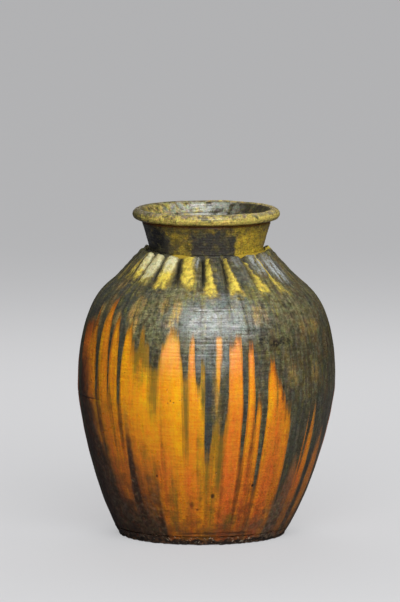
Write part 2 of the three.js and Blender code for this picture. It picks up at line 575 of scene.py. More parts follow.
# %% [markdown]
# ## The ruff of ribs
#
# Strips of clay were pressed on with a finger, side by side, from the neck down over the shoulder. They
# differ: some are wider, some longer, and most slant a little to the right. The first list gives the
# angles of the creases between the ribs in front, from left to right, and the second one how many
# degrees each slants on its way down. The third says how far a rib's crest leans over, to the right if
# it is negative. The creases round the back are shared out evenly, with a small wobble, and their
# slants are drawn with a fixed seed.

# %% Place the creases
front_creases = [-69, -56.5, -41.8, -26, -3.6, 13.5, 32.5, 50.5]
front_slants = [5.5, 6.8, 6.3, 7.5, 1.8, -0.3, 1.0, 0.5]
front_skews = [0.0, 0.05, 0.0, -0.28, -0.36, -0.38, -0.3]
even_ribs = 15
crease_wobble = 1.3


def all_creases():
    first, last = front_creases[0], front_creases[-1]
    pitch = (360 - (last - first)) / even_ribs
    shared = [last + pitch * i + crease_wobble * math.sin(i * i) for i in range(1, even_ribs)]
    draw = np.random.default_rng(5)
    slants = front_slants + list(draw.uniform(-1.2, 1.8, even_ribs - 1))
    return front_creases + shared + [first + 360], slants + [front_slants[0]]


creases, slants = all_creases()
print("creases:", len(creases) - 1)

# %% [markdown]
# Each rib is half round, has a rounded upper end against the neck and thins out into the shoulder
# below. It is a strip of points on the shoulder, lifted by a rise that is fullest in the middle of the
# strip. The ribs in front stay full for longer, as in the picture of the jar.

# %% Shape a rib
rib_length = 76.0
rib_rise = 12.0
rib_rows = 64
rib_columns = 26
rib_start = 4.8
rounding = 4.0


def rib_swell(across, skew):
    """A half circle over the width of a rib, with its crest moved aside."""
    bent = across + skew * across * (1 - across) * 2
    return np.sqrt(np.clip(1 - (2 * bent - 1) ** 2, 0, 1))


def rib_fullness(reach, start, facing):
    """How full a rib is along its length: a rounded end, a body and a long thin tail."""
    away = (reach - rib_start) / rib_length
    end_round = np.sqrt(np.clip((reach - start) / 2.5, 0, 1))
    fullness = 0.28 * end_round + 0.72 * rising(away, 0, 0.14 + 0.06 * facing)
    return end_round, fullness * (1 - rising(away, 0.06 + 0.2 * facing, 0.9 + 0.07 * facing))


def rib_rise_at(points, number, tall):
    """The height of a rib's crest, uneven where the finger pressed."""
    finger = 1 + 0.08 * sway(points, 26, 200 + number) + 0.06 * sway(points, 9, 300 + number)
    return rib_rise * tall * finger


print("fullness half way down a front rib:", round(float(rib_fullness(rib_length / 2, rib_start, 1)[1]), 2))

# %% [markdown]
# A rib is a closed skin: its rows run along an underside that is sunk into the shoulder, and back over
# the top. So its faces are a grid that joins up along its sides, and a row of faces closes each end.

# %% Close a strip
def strip_faces():
    """Faces of a strip whose rows each run along the underside and back over the top."""
    ring = 2 * rib_columns
    faces = grid_faces(rib_rows, ring, closed=False)
    last = (rib_rows - 1) * ring
    for column in range(rib_columns - 1):
        opposite = ring - 1 - column
        faces.append((opposite, opposite - 1, column + 1, column))
        faces.append((last + column, last + column + 1, last + opposite - 1, last + opposite))
    return [face[::-1] for face in faces]


print("faces of a rib:", len(strip_faces()))

# %% [markdown]
# Each rib is then laid between its two creases, along the outline of the wall. It keeps a number on its
# points that says how high they stand, from 0 in the crease to 1 on the crest. The glaze uses it later,
# because glaze runs thick in a crease, and to paint the shade that lies there.

# %% Make the ribs
under_depth = 3.0
end_lift = 1.2
tail_sink = 2.0
edge_sink = 1.1


def rib(number):
    draw = np.random.default_rng(100 + number)
    tall, long, skew = draw.uniform([0.86, 0.94, -0.3], [1.02, 1.06, 0.1])
    if number < len(front_skews):
        skew = front_skews[number]
    along = np.linspace(0, 1, rib_rows)[:, None] ** 1.5
    across = 0.5 - 0.5 * np.cos(np.pi * np.linspace(0, 1, rib_columns))[None, :]
    left = creases[number] + slants[number] * along**0.6
    right = creases[number + 1] + slants[number + 1] * along**0.6
    turn = np.radians(left + (right - left) * across)
    swell = rib_swell(across, skew)
    start = rib_start + rounding * (1 - swell)
    reach = start + (rib_length * long - start) * along
    floor = outline_at(outline_length[-1] - reach)
    radius, height = floor[..., 0], floor[..., 1] - hand_inset
    points = np.stack([radius * np.sin(turn) + lean_at(height), -radius * np.cos(turn), height], -1)
    facing = max(math.cos(float(turn[0].mean())), 0)
    end_round, fullness = rib_fullness(reach, start, facing)
    sink = tail_sink * rising(along, 0.25, 1.0) + edge_sink * (1 - swell) ** 2
    over, under = points.copy(), points.copy()
    over[..., 2] += end_lift * end_round + rib_rise_at(points, number, tall) * fullness * swell - sink
    under[..., 2] -= under_depth
    skin = np.concatenate([under, over[:, ::-1]], axis=1)
    piece = make_piece(f"jar_rib_{number + 1:02d}", skin.reshape(-1, 3), strip_faces())
    swell = swell + 0 * along
    standing = np.concatenate([np.zeros_like(swell), swell[:, ::-1]], axis=1)
    layer = piece.data.attributes.new("standing", "FLOAT", "POINT")
    layer.data.foreach_set("value", standing.reshape(-1).astype(np.float32))
    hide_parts(f"rib_{number + 1:02d}")
    return piece


ribs = [rib(number) for number in range(len(creases) - 1)]
print("ribs:", len(ribs))

# %% [markdown]
# ## Arithmetic with sockets
#
# A glaze is mostly arithmetic on where a point lies. Blender does that with Math nodes, which are
# slow to read as a list of links. The class below wraps the output of a node, so that an expression
# such as `1 - height / 20` adds its own Math nodes. Every other node comes from one method, which sets
# the node's settings first and then its sockets. Colours and vectors never go through Math nodes, which
# would reduce them to a single number, so the class has methods for vectors and noise as well.

# %% Wrap sockets
class Wire:
    """An output of a node. With no socket it stands for an empty node tree."""

    def __init__(self, tree, socket=None):
        self.tree = tree
        self.socket = socket

    def node(self, kind, settings=None, sockets=None, output=0):
        made = self.tree.nodes.new(kind)
        for name, value in (settings or {}).items():
            if name == "points":
                set_points(made.mapping, value)
            else:
                setattr(made, name, value)
        for name, value in (sockets or {}).items():
            if isinstance(value, Wire):
                self.tree.links.new(value.socket, made.inputs[name])
            else:
                made.inputs[name].default_value = value
        return Wire(self.tree, made.outputs[output] if made.outputs else None)

    def also(self, output):
        """Another output of the same node."""
        return Wire(self.tree, self.socket.node.outputs[output])

    def math(self, operation, *values):
        return self.node("ShaderNodeMath", {"operation": operation}, dict(enumerate(values)))

    def __add__(self, other):
        return self.math("ADD", self, other)

    def __sub__(self, other):
        return self.math("SUBTRACT", self, other)

    def __mul__(self, other):
        return self.math("MULTIPLY", self, other)

    def __truediv__(self, other):
        return self.math("DIVIDE", self, other)

    def __rsub__(self, other):
        return self.math("SUBTRACT", other, self)

    def __neg__(self):
        return self.math("MULTIPLY", self, -1.0)

    def __abs__(self):
        return self.math("ABSOLUTE", self)

    __radd__ = __add__
    __rmul__ = __mul__

    def most(self, other):
        return self.math("MAXIMUM", self, other)

    def least(self, other):
        return self.math("MINIMUM", self, other)

    def step(self, low, high, top=1.0):
        """0 below low and the top above high, softly. It runs backwards if low is the larger."""
        sockets = {"Value": self, "From Min": low, "From Max": high, "To Max": top}
        return self.node("ShaderNodeMapRange", {"interpolation_type": "SMOOTHSTEP"}, sockets)

    def between(self, rise, fall):
        """0, then 1 past the rise, then 0 again past the fall. Each is a pair of levels."""
        return self.step(*rise) * self.step(fall[1], fall[0])

    def all_positive(self):
        """An angle from -180 to 180 as one from 0 to 360."""
        return self.math("WRAP", self, 360.0, 0.0)

    def vector(self, x, y, z=0.0):
        return self.node("ShaderNodeCombineXYZ", None, {0: x, 1: y, 2: z})

    def vector_math(self, operation, *values, output=0):
        return self.node("ShaderNodeVectorMath", {"operation": operation}, dict(enumerate(values)), output)

    def noise(self, vector, scale, detail, roughness=0.55, hues=False):
        """Noise from 0 to 1. With hues it is a colour."""
        sockets = {"Vector": vector, "Scale": scale, "Detail": detail, "Roughness": roughness}
        return self.node("ShaderNodeTexNoise", None, sockets, int(hues))


trial = bpy.data.node_groups.new("trial", "ShaderNodeTree")
reading = 1 - Wire(trial).node("ShaderNodeValue") / 20
print("1 - value / 20 takes", len(trial.nodes), "nodes, the last one to", reading.socket.node.operation)
bpy.data.node_groups.remove(trial)

# %% [markdown]
# A curve node holds a line through points. It starts with two of them, so those are moved and the rest
# are added. Vector handles keep the runs between the points straight.

# %% Fill a curve node
def set_points(mapping, points):
    """Gives a curve node straight runs between points whose two numbers lie between 0 and 1."""
    line = mapping.curves[0]
    for x, y in points[1:-1]:
        line.points.new(x, y)
    line.points[0].location = points[0]
    line.points[-1].location = points[-1]
    for point in line.points:
        point.handle_type = "VECTOR"
    mapping.update()


trial = bpy.data.node_groups.new("trial", "ShaderNodeTree")
peak = Wire(trial).node("ShaderNodeFloatCurve", {"points": [(0, 0), (0.5, 1), (1, 0)]})
print("a peak takes", len(peak.socket.node.mapping.curves[0].points), "points")
bpy.data.node_groups.remove(trial)

# %% [markdown]
# Colours are written as a screen shows them, from 0 to 255, because that is how they were read off the
# picture of the jar. Blender works with amounts of light, so each is converted once.

# %% Write colours and start materials
def paint(red, green, blue):
    """A screen colour as the light that Blender works with."""
    light = [((c / 255 + 0.055) / 1.055) ** 2.4 if c > 10 else c / 255 / 12.92 for c in (red, green, blue)]
    return (*light, 1.0)


def start_finish(name):
    material = bpy.data.materials.new(name)
    material.use_nodes = True
    material.node_tree.nodes.clear()
    return material, Wire(material.node_tree)


print("orange as light:", [round(c, 3) for c in paint(225, 130, 25)])

# %% [markdown]
# ## Where a point is on the jar
#
# Glaze runs down, so the useful coordinates are the angle round the jar, in degrees with 0 in front,
# and the height. They are worked out from the point's own place, with the lean of the foot taken out.
# The unrolled surface is a vector of angle and height, on which patches can be laid out flat.

# %% Find angle and height
class Place:
    """Angle and height at a point of the jar, for surfaces that lie above a lowest height."""

    def __init__(self, graph, lowest=0.0):
        self.graph = graph
        self.lowest = lowest
        place = graph.node("ShaderNodeTexCoord", output="Object")
        self.place = graph.node("ShaderNodeVectorMath", {"operation": "SCALE"}, {0: place, "Scale": 1 / mm})
        across = graph.node("ShaderNodeSeparateXYZ", None, {0: self.place})
        deep = -across.also("Y")
        self.height = across.also("Z")
        below = (1 - self.height / belly_height).most(0.0)
        across = across + foot_lean * graph.math("POWER", below, lean_power)
        self.reach = graph.math("SQRT", across * across + deep * deep).most(1.0)
        self.aside = across / self.reach
        self.ahead = deep / self.reach
        self.angle = graph.math("ARCTAN2", across, deep) * math.degrees(1)
        self.flat = self.laid_flat(self.angle)

    def laid_flat(self, angle):
        """Angle and height as one vector, as if the jar's surface were unrolled."""
        return self.graph.vector(angle, self.height)

    def facing_inwards(self):
        """1 on the inside of the jar, where the surface faces the axis."""
        normal = self.graph.node("ShaderNodeTexCoord", output="Normal")
        outwards = self.graph.vector(self.aside, -self.ahead)
        facing = self.graph.vector_math("DOT_PRODUCT", normal, outwards, output="Value")
        return facing.step(-0.05, -0.2)


print("at the belly, 10 degrees are", round(math.radians(10) * belly_radius, 1), "mm of the surface")

# %% [markdown]
# Three kinds of noise are built on these coordinates. Streaks are stretched along the height, as
# running glaze is. Clouds are the same size every way. Wheel lines are level and thin. Each takes a
# seed, which moves the noise to another part of its endless pattern.

# %% Make noises that follow the jar
class Noises(Place):
    """A place on the jar, with noises from 0 to 1."""

    def around(self, per_radian, level):
        """A vector that goes round the jar without a join, with its third number up the height."""
        return self.graph.vector(self.aside * per_radian, self.ahead * per_radian, level)

    def streaks(self, width, length, seed, detail=2.0, hues=False):
        """Streaks of a width in degrees and a length in millimetres."""
        vector = self.around(math.degrees(1) / width, self.height / length + seed * 7.3)
        return self.graph.noise(vector, 1.0, detail, hues=hues)

    def clouds(self, size, seed, detail=2.0, hues=False):
        """Clouds of a size in millimetres."""
        shifted = self.graph.vector_math("ADD", self.place, (seed * 91.0,) * 3)
        return self.graph.noise(shifted, 1 / size, detail, hues=hues)

    def wheel_lines(self, per_radian, gap, seed, detail):
        """Level lines, a gap in millimetres apart, that fade in and out round the jar."""
        vector = self.around(per_radian, self.height / gap + seed)
        return self.graph.noise(vector, 1.0, detail, roughness=0.5)


print("a streak of 1.3 degrees is", round(math.radians(1.3) * belly_radius, 1), "mm wide at the belly")

# %% [markdown]
# Colours are laid over each other with a Mix node, and grain is an overlay, which keeps the colour
# below and makes it lighter, darker, redder or greener. A finish that depends on the angle is written
# as a short list of (angle, value) pairs, read by a curve node. A place with a finish of its own is an
# oval on the unrolled surface.

# %% Lay colours, read lists and place ovals
oval_edge = (1.5, 0.5)


class Spot(Noises):
    """A point of the jar with everything that a glaze needs to know about it."""

    def curve(self, points, across, low, high, top):
        """Reads a list of (across, value) points. Values lie between 0 and top."""
        scaled = [((x - low) / (high - low), y / top) for x, y in points]
        sockets = {"Value": (across - low) / (high - low)}
        return self.graph.node("ShaderNodeFloatCurve", {"points": scaled}, sockets) * top

    def lay(self, under, over, share, blend="MIX"):
        """One colour laid over another one. The share that covers is clamped between 0 and 1."""
        settings = {"data_type": "RGBA", "clamp_factor": True, "blend_type": blend}
        return self.graph.node("ShaderNodeMix", settings, {0: share, 6: under, 7: over}, output=2)

    def grain(self, colour, noise, share):
        return self.lay(colour, noise, share, "OVERLAY")

    def speckled(self, colour, seed, share):
        """Fine light and dark specks: grain of the glaze, with small painted glints among them."""
        return self.grain(colour, self.clouds(2.2, seed, 2.0).step(0.34, 0.66), share)

    def turned(self, colour, seed, share):
        """Fine level lines, light and dark: glaze lying in the marks of the wheel, and painted glints of
        the shine along them.
        """
        return self.grain(colour, self.wheel_lines(6.0, 2.2, seed, 2.0).step(0.32, 0.68), share)

    def patch(self, flat, at, height, half_angle, half_height, strength=1.0):
        """The strength in the middle of an oval on the unrolled surface, and 0 outside it."""
        scale = (1 / half_angle, 1 / half_height, 0)
        offset = (-at / half_angle, -height / half_height, 0)
        oval = self.graph.vector_math("MULTIPLY_ADD", flat, scale, offset)
        return self.graph.vector_math("LENGTH", oval, output="Value").step(*oval_edge, strength)

    def patches(self, flat, places):
        """The strongest of several ovals at each point. Ovals that lie too low to matter are left out."""
        reached = [place for place in places if place[1] + oval_edge[0] * place[3] > self.lowest]
        total = None
        for place in reached or places[:1]:
            patch = self.patch(flat, *place)
            total = patch if total is None else total.most(patch)
        return total


print("an oval fades out between", oval_edge[1], "and", oval_edge[0], "times its half size")

# %% [markdown]
# Several pieces share a glaze, so each glaze is a group of nodes that finds its own place on the jar. A
# group can be told that it only serves a high piece, such as the shoulder. It then leaves out whatever
# lies lower down, because a material with too many live values at once can't be rendered.

# %% Share glazes between pieces
def mixture(name, make, lowest=0.0):
    """Builds a group of nodes from a function that takes a spot and returns its named results."""
    tree = bpy.data.node_groups.new(name, "ShaderNodeTree")
    results = make(Spot(Wire(tree), lowest))
    for title in results:
        kind = "NodeSocketColor" if title == "colour" else "NodeSocketFloat"
        tree.interface.new_socket(title, in_out="OUTPUT", socket_type=kind)
    Wire(tree).node("NodeGroupOutput", None, results)
    print(name, "takes", len(tree.nodes), "nodes")
    return tree


def poured(graph, mixed):
    """Puts a mixture into a material and gives its colour. The other results come from also()."""
    return graph.node("ShaderNodeGroup", {"node_tree": mixed}, output="colour")


# %% [markdown]
# ## Where the dark glaze ends
#
# The ash glaze was poured over the shoulder and ran down in tongues, so at each angle there is one
# height where it stops, and the picture of the jar can be written as a list of upright bands. Each
# entry gives the angle where a band starts, the height where the thick dark glaze ends in it and the
# height where its thin, see-through edge ends. A low narrow band is a drip, and a high one is an amber
# window. A band lasts up to the next one, so its sides are upright, as runs are.

# %% List the runs of dark glaze
front_edge = 80.0
# The first two bands, at the far left edge, run the dark glaze far down, partly as painted shade on that
# edge.
front_runs = [
    (-80, 60, 20), (-77.4, 150, 110), (-76.2, 300, 284), (-72, 304, 292), (-67, 307, 296),
    (-65.6, 298, 284), (-64.6, 322, 298), (-62.6, 304, 292), (-61, 290, 272), (-60.2, 262, 240),
    (-59.2, 212, 140), (-57.2, 262, 250), (-56.6, 298, 286), (-55.7, 318, 308), (-54.4, 333, 324),
    (-52.8, 339, 331), (-51.2, 330, 320), (-50.6, 306, 292), (-50.2, 276, 258), (-49.8, 212, 166),
    (-48.7, 274, 260), (-48.2, 296, 284), (-47.5, 308, 298), (-46.5, 316, 307), (-44.9, 306, 294),
    (-44.3, 288, 274), (-43.6, 204, 150), (-41.6, 270, 256), (-40.9, 300, 291), (-39.8, 308, 300),
    (-37.4, 303, 292), (-36.4, 286, 270), (-34.8, 276, 250), (-32.2, 304, 262), (-29.6, 284, 252),
    (-26.6, 252, 196), (-21.9, 270, 256), (-20.7, 286, 278), (-19, 296, 289), (-17.4, 306, 299),
    (-14, 299, 291), (-12.6, 289, 280), (-11.6, 268, 256), (-10.5, 240, 150), (-8.1, 284, 273),
    (-7.5, 297, 290), (-5.8, 290, 282), (-5.1, 262, 252), (-4.6, 234, 224), (-2.4, 262, 250),
    (-0.5, 148, 96), (-0.2, 130, 84), (2.3, 142, 128), (2.9, 172, 140), (3.7, 178, 140), (5.6, 168, 84),
    (8.4, 188, 158), (9.2, 196, 178), (10.1, 286, 278), (10.8, 289, 283), (13, 292, 285),
    (13.8, 298, 291), (16.0, 290, 280), (16.4, 140, 84), (18.5, 216, 180), (18.9, 278, 271),
    (19.6, 288, 283), (21.7, 244, 234), (22.2, 166, 106), (22.9, 196, 186), (23.4, 209, 200),
    (25.5, 186, 166), (25.8, 90, 40), (27.8, 238, 228), (28.5, 250, 242), (29.8, 262, 255),
    (32.4, 248, 238), (33.8, 230, 220), (35.6, 216, 204), (37.4, 206, 194), (39.4, 192, 180),
    (41, 176, 156), (42.2, 96, 50), (43.2, 62, 8), (44.6, 78, -10), (46.4, 104, 20), (48.4, 124, 44),
    (50.6, 116, 30), (52.4, 112, 60), (53.4, 190, 182), (54.4, 110, 76), (55.2, 130, 116),
    (56.2, 168, 158), (57, 200, 197), (58.5, 180, 172), (59.4, 146, 132), (60.2, 96, 40), (60.9, 58, 6),
    (64.2, 118, 112), (65.6, 144, 142), (68, 154, 154), (71.5, 146, 142), (73.5, 116, 104),
    (75, 60, 20), (77, 30, 0),
]
print("front bands:", len(front_runs))

# %% [markdown]
# Nobody has seen the back, so its bands are drawn by chance from the same kinds of width and length,
# with a fixed seed: a drip, and then a window whose top is stepped like a rough arch. The last band is
# a drip that leads round to the left edge of the front.

# %% Draw the runs at the back
back_end = 360 - front_edge
last_run = (back_end - 7, 70, 25)
window_edge = 14
arch_steps = ((0.12, 26), (0.3, 9), (0.35, 0), (0.23, 14))


def drawn_runs():
    """Bands for the side that the picture doesn't show."""
    draw = np.random.default_rng(12)
    runs = []
    angle = front_edge
    while angle < back_end - 9:
        drip, window = draw.uniform([1.4, 4], [4.5, 12])
        ends, lift = draw.uniform([70, 200], [235, 308])
        runs.append((angle, ends, ends - draw.uniform(20, 75)))
        angle += drip
        for share, lower in arch_steps:
            runs.append((angle, lift - lower, lift - lower - window_edge))
            angle += share * window
    return runs + [last_run]


back_runs = drawn_runs()
print("back bands:", len(back_runs))

# %% [markdown]
# A curve node reads a line through points, so each band becomes two corners with the same height, and
# the steep line to the next band is its side.

# %% Turn bands into corners
band_edge = 0.14


def upright(runs, end):
    """The corner points of a stepped line, from bands that each last up to the next one."""
    starts = [run[0] for run in runs] + [end]
    corners = []
    for run, start, stop in zip(runs, starts, starts[1:]):
        edge = min(band_edge, (stop - start) / 3)
        corners += [(start + edge, *run[1:]), (stop - edge, *run[1:])]
    return corners


front_line = upright(front_runs, front_edge)
back_line = upright(back_runs, back_end)
print("corners:", len(front_line), "in front and", len(back_line), "at the back")

# %% [markdown]
# ## Lists that go round the jar
#
# Two more lists describe the amber below. The first says how high up from the foot the colour has
# burnt to dark brown. The second is the hue at each angle, from 0 for yellow through 0.5 for orange to
# 1 for red-orange, because thin glaze over an iron-rich clay turns redder.

# %% List the burnt foot and the hue
front_burn = [
    (-80, 262), (-76, 264), (-73, 256), (-70.6, 250), (-68.4, 238), (-66.6, 222), (-65.2, 200),
    (-63, 184), (-60, 160), (-57, 128), (-54, 92), (-50, 78), (-46, 74), (-43, 72), (-41, 84),
    (-40.4, 122), (-39.6, 160), (-38.6, 170), (-37.4, 150), (-36.2, 118), (-35, 90), (-33, 74),
    (-27, 74), (-24.4, 80), (-23.4, 52), (-22, 14), (-20, 4), (-10, 6), (12, 10), (22, 20), (32, 14),
    (34, 26), (41, 14), (42.6, 40), (44, 72), (47, 84), (51, 64), (53.5, 40), (59, 34), (60.6, 90),
    (64, 84), (66, 14), (72, 22), (75, 60), (80, 96),
]
back_burn = [
    (80, 96), (88, 60), (97, 84), (112, 34), (128, 58), (146, 30), (160, 66), (174, 40), (186, 92),
    (196, 48), (212, 30), (226, 74), (240, 52), (250, 90), (258, 66), (264, 112), (268, 96),
    (271.5, 160), (275, 140), (277.5, 214), (280, 262),
]
front_hue = [
    (-80, 0.9), (-70, 0.8), (-64, 0.6), (-58.5, 0.2), (-56.5, 0.15), (-54.5, 0.45), (-51, 0.55),
    (-47, 0.45), (-43, 0.25), (-39, 0.3), (-35, 0.32), (-30, 0.16), (-26, 0.08), (-23, 0.25),
    (-20.5, 0.4), (-18, 0.3), (-14, 0.1), (-11, 0.1), (-7, 0.35), (-4, 0.25), (-1.5, 0.0), (4.5, 0.0),
    (7, 0.4), (9.5, 0.48), (11.5, 0.58), (14.5, 0.58), (16, 0.5), (19, 0.35), (21, 0.5), (24, 0.35),
    (27, 0.4), (29, 0.3), (32, 0.5), (35, 0.6), (37.5, 0.35), (40, 0.2), (42, 0.3), (50, 0.4),
    (57, 0.22), (62, 0.22), (69, 0.1), (80, 0.4),
]
back_hue = [
    (80, 0.7), (110, 0.3), (140, 0.8), (175, 0.3), (205, 0.9), (240, 0.3), (262, 0.7), (280, 0.9),
]
print("burn entries:", len(front_burn) + len(back_burn), "hue entries:", len(front_hue) + len(back_hue))

# %% [markdown]
# A list in front and a list at the back are read by two curve nodes, and a narrow step switches between
# them. Blender keeps a curve as 256 samples over its own range. That is too coarse for a long list with
# steep sides, so a long list is cut in two at the angle 0, and each half has the samples to itself.

# %% Read a list all the way round
tallest = 420.0
many_corners = 90
join_width = 0.05


def read_halves(spot, angle, corners, top):
    """Reads a long list by one curve for its left half and one for its right half."""
    middle = (0, float(np.interp(0, *zip(*corners))))
    left = [corner for corner in corners if corner[0] < 0] + [middle]
    right = [middle] + [corner for corner in corners if corner[0] > 0]
    left = spot.curve(left, angle, -front_edge, 0, top)
    right = spot.curve(right, angle, 0, front_edge, top)
    return left + (right - left) * angle.step(-join_width, join_width)


def read_round(spot, angle, front, back, top):
    """Reads one list in front and another one round the back."""
    if len(front) > many_corners:
        at_front = read_halves(spot, angle, front, top)
    else:
        at_front = spot.curve(front, angle, -front_edge, front_edge, top)
    at_back = spot.curve(back, angle.all_positive(), front_edge, back_end, top)
    share = abs(angle).step(front_edge - 1, front_edge + 1)
    return at_front + (at_back - at_front) * share


print("the long list of bands is cut in two:", len(front_line) > many_corners)

# %% [markdown]
# ## The amber glaze
#
# The colours were read off the picture of the jar, and are a little lighter than it shows them, because
# shading darkens them again. Places with a colour of their own are written as ovals: the angle and
# height of the middle, half of the width in degrees, half of the height and how strong it is.

# %% List the colours of the amber glaze
amber_yellow = paint(234, 162, 18)
amber_orange = paint(218, 132, 27)
amber_red = paint(214, 106, 36)
amber_brown = paint(104, 54, 24)
# The next colour is a painted highlight, laid high up in front below the shine on the shoulder.
amber_highlight_paint = paint(230, 164, 106)
wash_olive = paint(108, 90, 32)
wash_brown = paint(86, 48, 24)
olive_places = [
    (-31, 258, 4.5, 34, 0.5), (-24.8, 232, 2.5, 50, 0.65), (-9.2, 196, 1.4, 66, 0.35),
    (-1.4, 232, 1.2, 44, 0.85), (6.6, 140, 2.0, 62, 0.75), (3.6, 80, 3.0, 60, 0.35),
    (-16.6, 58, 2.4, 46, 0.45), (-2.2, 118, 1.8, 60, 0.5), (15.5, 34, 4.5, 14, 0.5),
    (33.3, 222, 0.6, 28, 0.6), (-28, 120, 6, 26, 0.2),
]
brown_places = [
    (-57.3, 185, 1.6, 62, 0.7), (-48.3, 172, 1.0, 50, 0.6), (-42.2, 172, 1.5, 52, 0.6),
    (17.6, 112, 1.4, 48, 0.6), (22, 120, 1.0, 60, 0.45), (26, 66, 2.2, 44, 0.65),
    (35.9, 212, 0.4, 13, 0.8), (38.4, 182, 0.5, 9, 0.7), (-20.4, 150, 1.2, 60, 0.25),
    (44.5, 60, 2.0, 60, 0.5), (-31, 84, 4, 20, 0.35), (9.4, 90, 0.8, 70, 0.35), (35, 130, 6, 70, 0.16),
    (-24, 96, 3, 18, 0.35), (55, 128, 1.0, 34, 0.9), (17.4, 84, 1.2, 50, 0.6), (27, 60, 1.4, 40, 0.5),
]
print("places in the amber glaze:", len(olive_places) + len(brown_places))

# %% [markdown]
# The runs on the left drifted inwards on their way down, so everything that ran is read at the angle
# where it started. A little noise makes every run wander, and with it the edges of the bands.

# %% Follow the drift of the runs
drift_begins = (40, 48)
drift_ends = (100, 130)
drift_rate = 0.018
drift_height = 225


def drifted_angle(spot):
    wander = (spot.streaks(3.5, 120, 10) - 0.5) * 1.4 + (spot.streaks(1.2, 50, 11, 3.0) - 0.5) * 0.6
    left = (-spot.angle).between(drift_begins, drift_ends)
    return spot.angle + wander + left * (spot.height - drift_height) * drift_rate


print("drift:", drift_rate, "degrees for each millimetre of height")

# %% [markdown]
# The glaze varies from yellow to red-orange round the jar, has fine upright streaks of brown, and near
# the foot it is redder and more brown, partly as painted shade. High up in front a painted highlight
# makes it pale. A slight grain of other hues keeps it from looking like paint.

# %% Mix the amber glaze
def amber_glaze(spot):
    angle = drifted_angle(spot)
    flat = spot.laid_flat(angle)
    wander = spot.streaks(5, 150, 1, 3.0) + spot.clouds(45, 72, 3.0) * 0.7 - 0.85
    redder = spot.height.step(215, 80) * 0.45
    hue = read_round(spot, angle, front_hue, back_hue, 1.0) + wander * 0.8 + redder
    colour = spot.lay(amber_yellow, amber_orange, hue.step(-0.05, 0.6))
    colour = spot.lay(colour, amber_red, hue.step(0.45, 1.1))
    fine = spot.streaks(1.3, 70, 2, 4.0) - 0.5
    coarse = spot.streaks(3.2, 130, 3, 3.0) + spot.clouds(14, 71, 4.0) * 0.8 - 0.9
    # Browner near the foot and on the left: partly the glaze's own browning, partly painted shade.
    browner_and_shaded = spot.height.step(150, 10) * 0.3 + (-spot.angle).step(22, 60) * 0.22
    blotches = (spot.clouds(9, 97, 5.0) - 0.46) * spot.height.step(110, 30) * 1.8
    colour = spot.lay(colour, amber_brown, browner_and_shaded + fine * 0.55 + coarse * 0.8 + blotches)
    # Painted highlight: high up in front the amber is made paler, below the shine on the shoulder.
    painted_pale_highlight = spot.height.step(225, 280) * (-spot.angle).step(34, 22) * spot.angle.step(26, 18)
    colour = spot.lay(colour, amber_highlight_paint, painted_pale_highlight * (0.4 + fine))
    rough = (fine + coarse) * 2.0 + 0.9
    colour = spot.lay(colour, wash_olive, spot.patches(flat, olive_places) * rough)
    colour = spot.lay(colour, wash_brown, spot.patches(flat, brown_places) * rough)
    colour = spot.grain(colour, spot.streaks(1.6, 16, 81, 4.0, hues=True), 0.35)
    colour = spot.grain(colour, spot.clouds(3, 82, 3.0, hues=True), 0.3)
    colour = spot.turned(colour, 91, 0.1)
    at_sides = spot.angle.step(0, 30) + (-spot.angle).step(26, 44)
    speck_share = (at_sides + spot.height.step(130, 40)) * 0.1
    return {"colour": spot.speckled(colour, 91, speck_share + 0.05)}


amber = mixture("amber", amber_glaze)
amber_above = mixture("amber_above", amber_glaze, upper_seam)

# %% [markdown]
# ## The dark glaze
#
# The ash glaze is a mottle of olive, blue-black and brown. It is paler where it lies thick under the
# ruff, pale blue-grey in front where a highlight is painted, and sandy where it is thin.

# %% List the colours of the dark glaze
dark_olive = paint(66, 62, 42)
pale_olive = paint(132, 128, 90)
highlight_blue_paint = paint(134, 142, 138)
dark_blue = paint(57, 61, 60)
dark_brown = paint(84, 68, 42)
ash_grey = paint(108, 106, 84)
fleck_green = paint(134, 124, 54)
fleck_sand = paint(168, 138, 74)
burnt_black = paint(22, 21, 20)
# The oval at -74 darkens the upper left edge as painted shade.
blue_places = [
    (-45, 322, 8, 26, 0.8), (-43, 290, 2, 30, 0.6), (1.2, 190, 2.6, 74, 0.9), (17.4, 200, 1.4, 76, 0.7),
    (24.5, 250, 4, 40, 0.5), (26.8, 150, 1.5, 70, 0.5), (26, 372, 7, 24, 0.6), (9, 366, 5, 30, 0.5),
    (-52, 346, 8, 10, 0.9), (-33, 344, 7, 10, 0.8), (-21, 352, 4, 9, 0.7), (9, 350, 2.5, 18, 0.9),
    (24, 348, 3, 18, 0.8), (47, 160, 6, 40, 0.5), (62, 110, 4, 60, 0.7), (-74, 328, 10, 30, 0.7),
    (8, 240, 2.5, 40, 0.5), (66, 170, 9, 36, 0.5),
]
pale_places = [
    (-27, 312, 13, 36, 0.7), (40, 326, 22, 36, 0.35), (-16, 345, 10, 12, 0.6), (-9, 268, 2, 26, 0.5),
    (160, 320, 60, 30, 0.5), (-130, 320, 30, 30, 0.5),
]
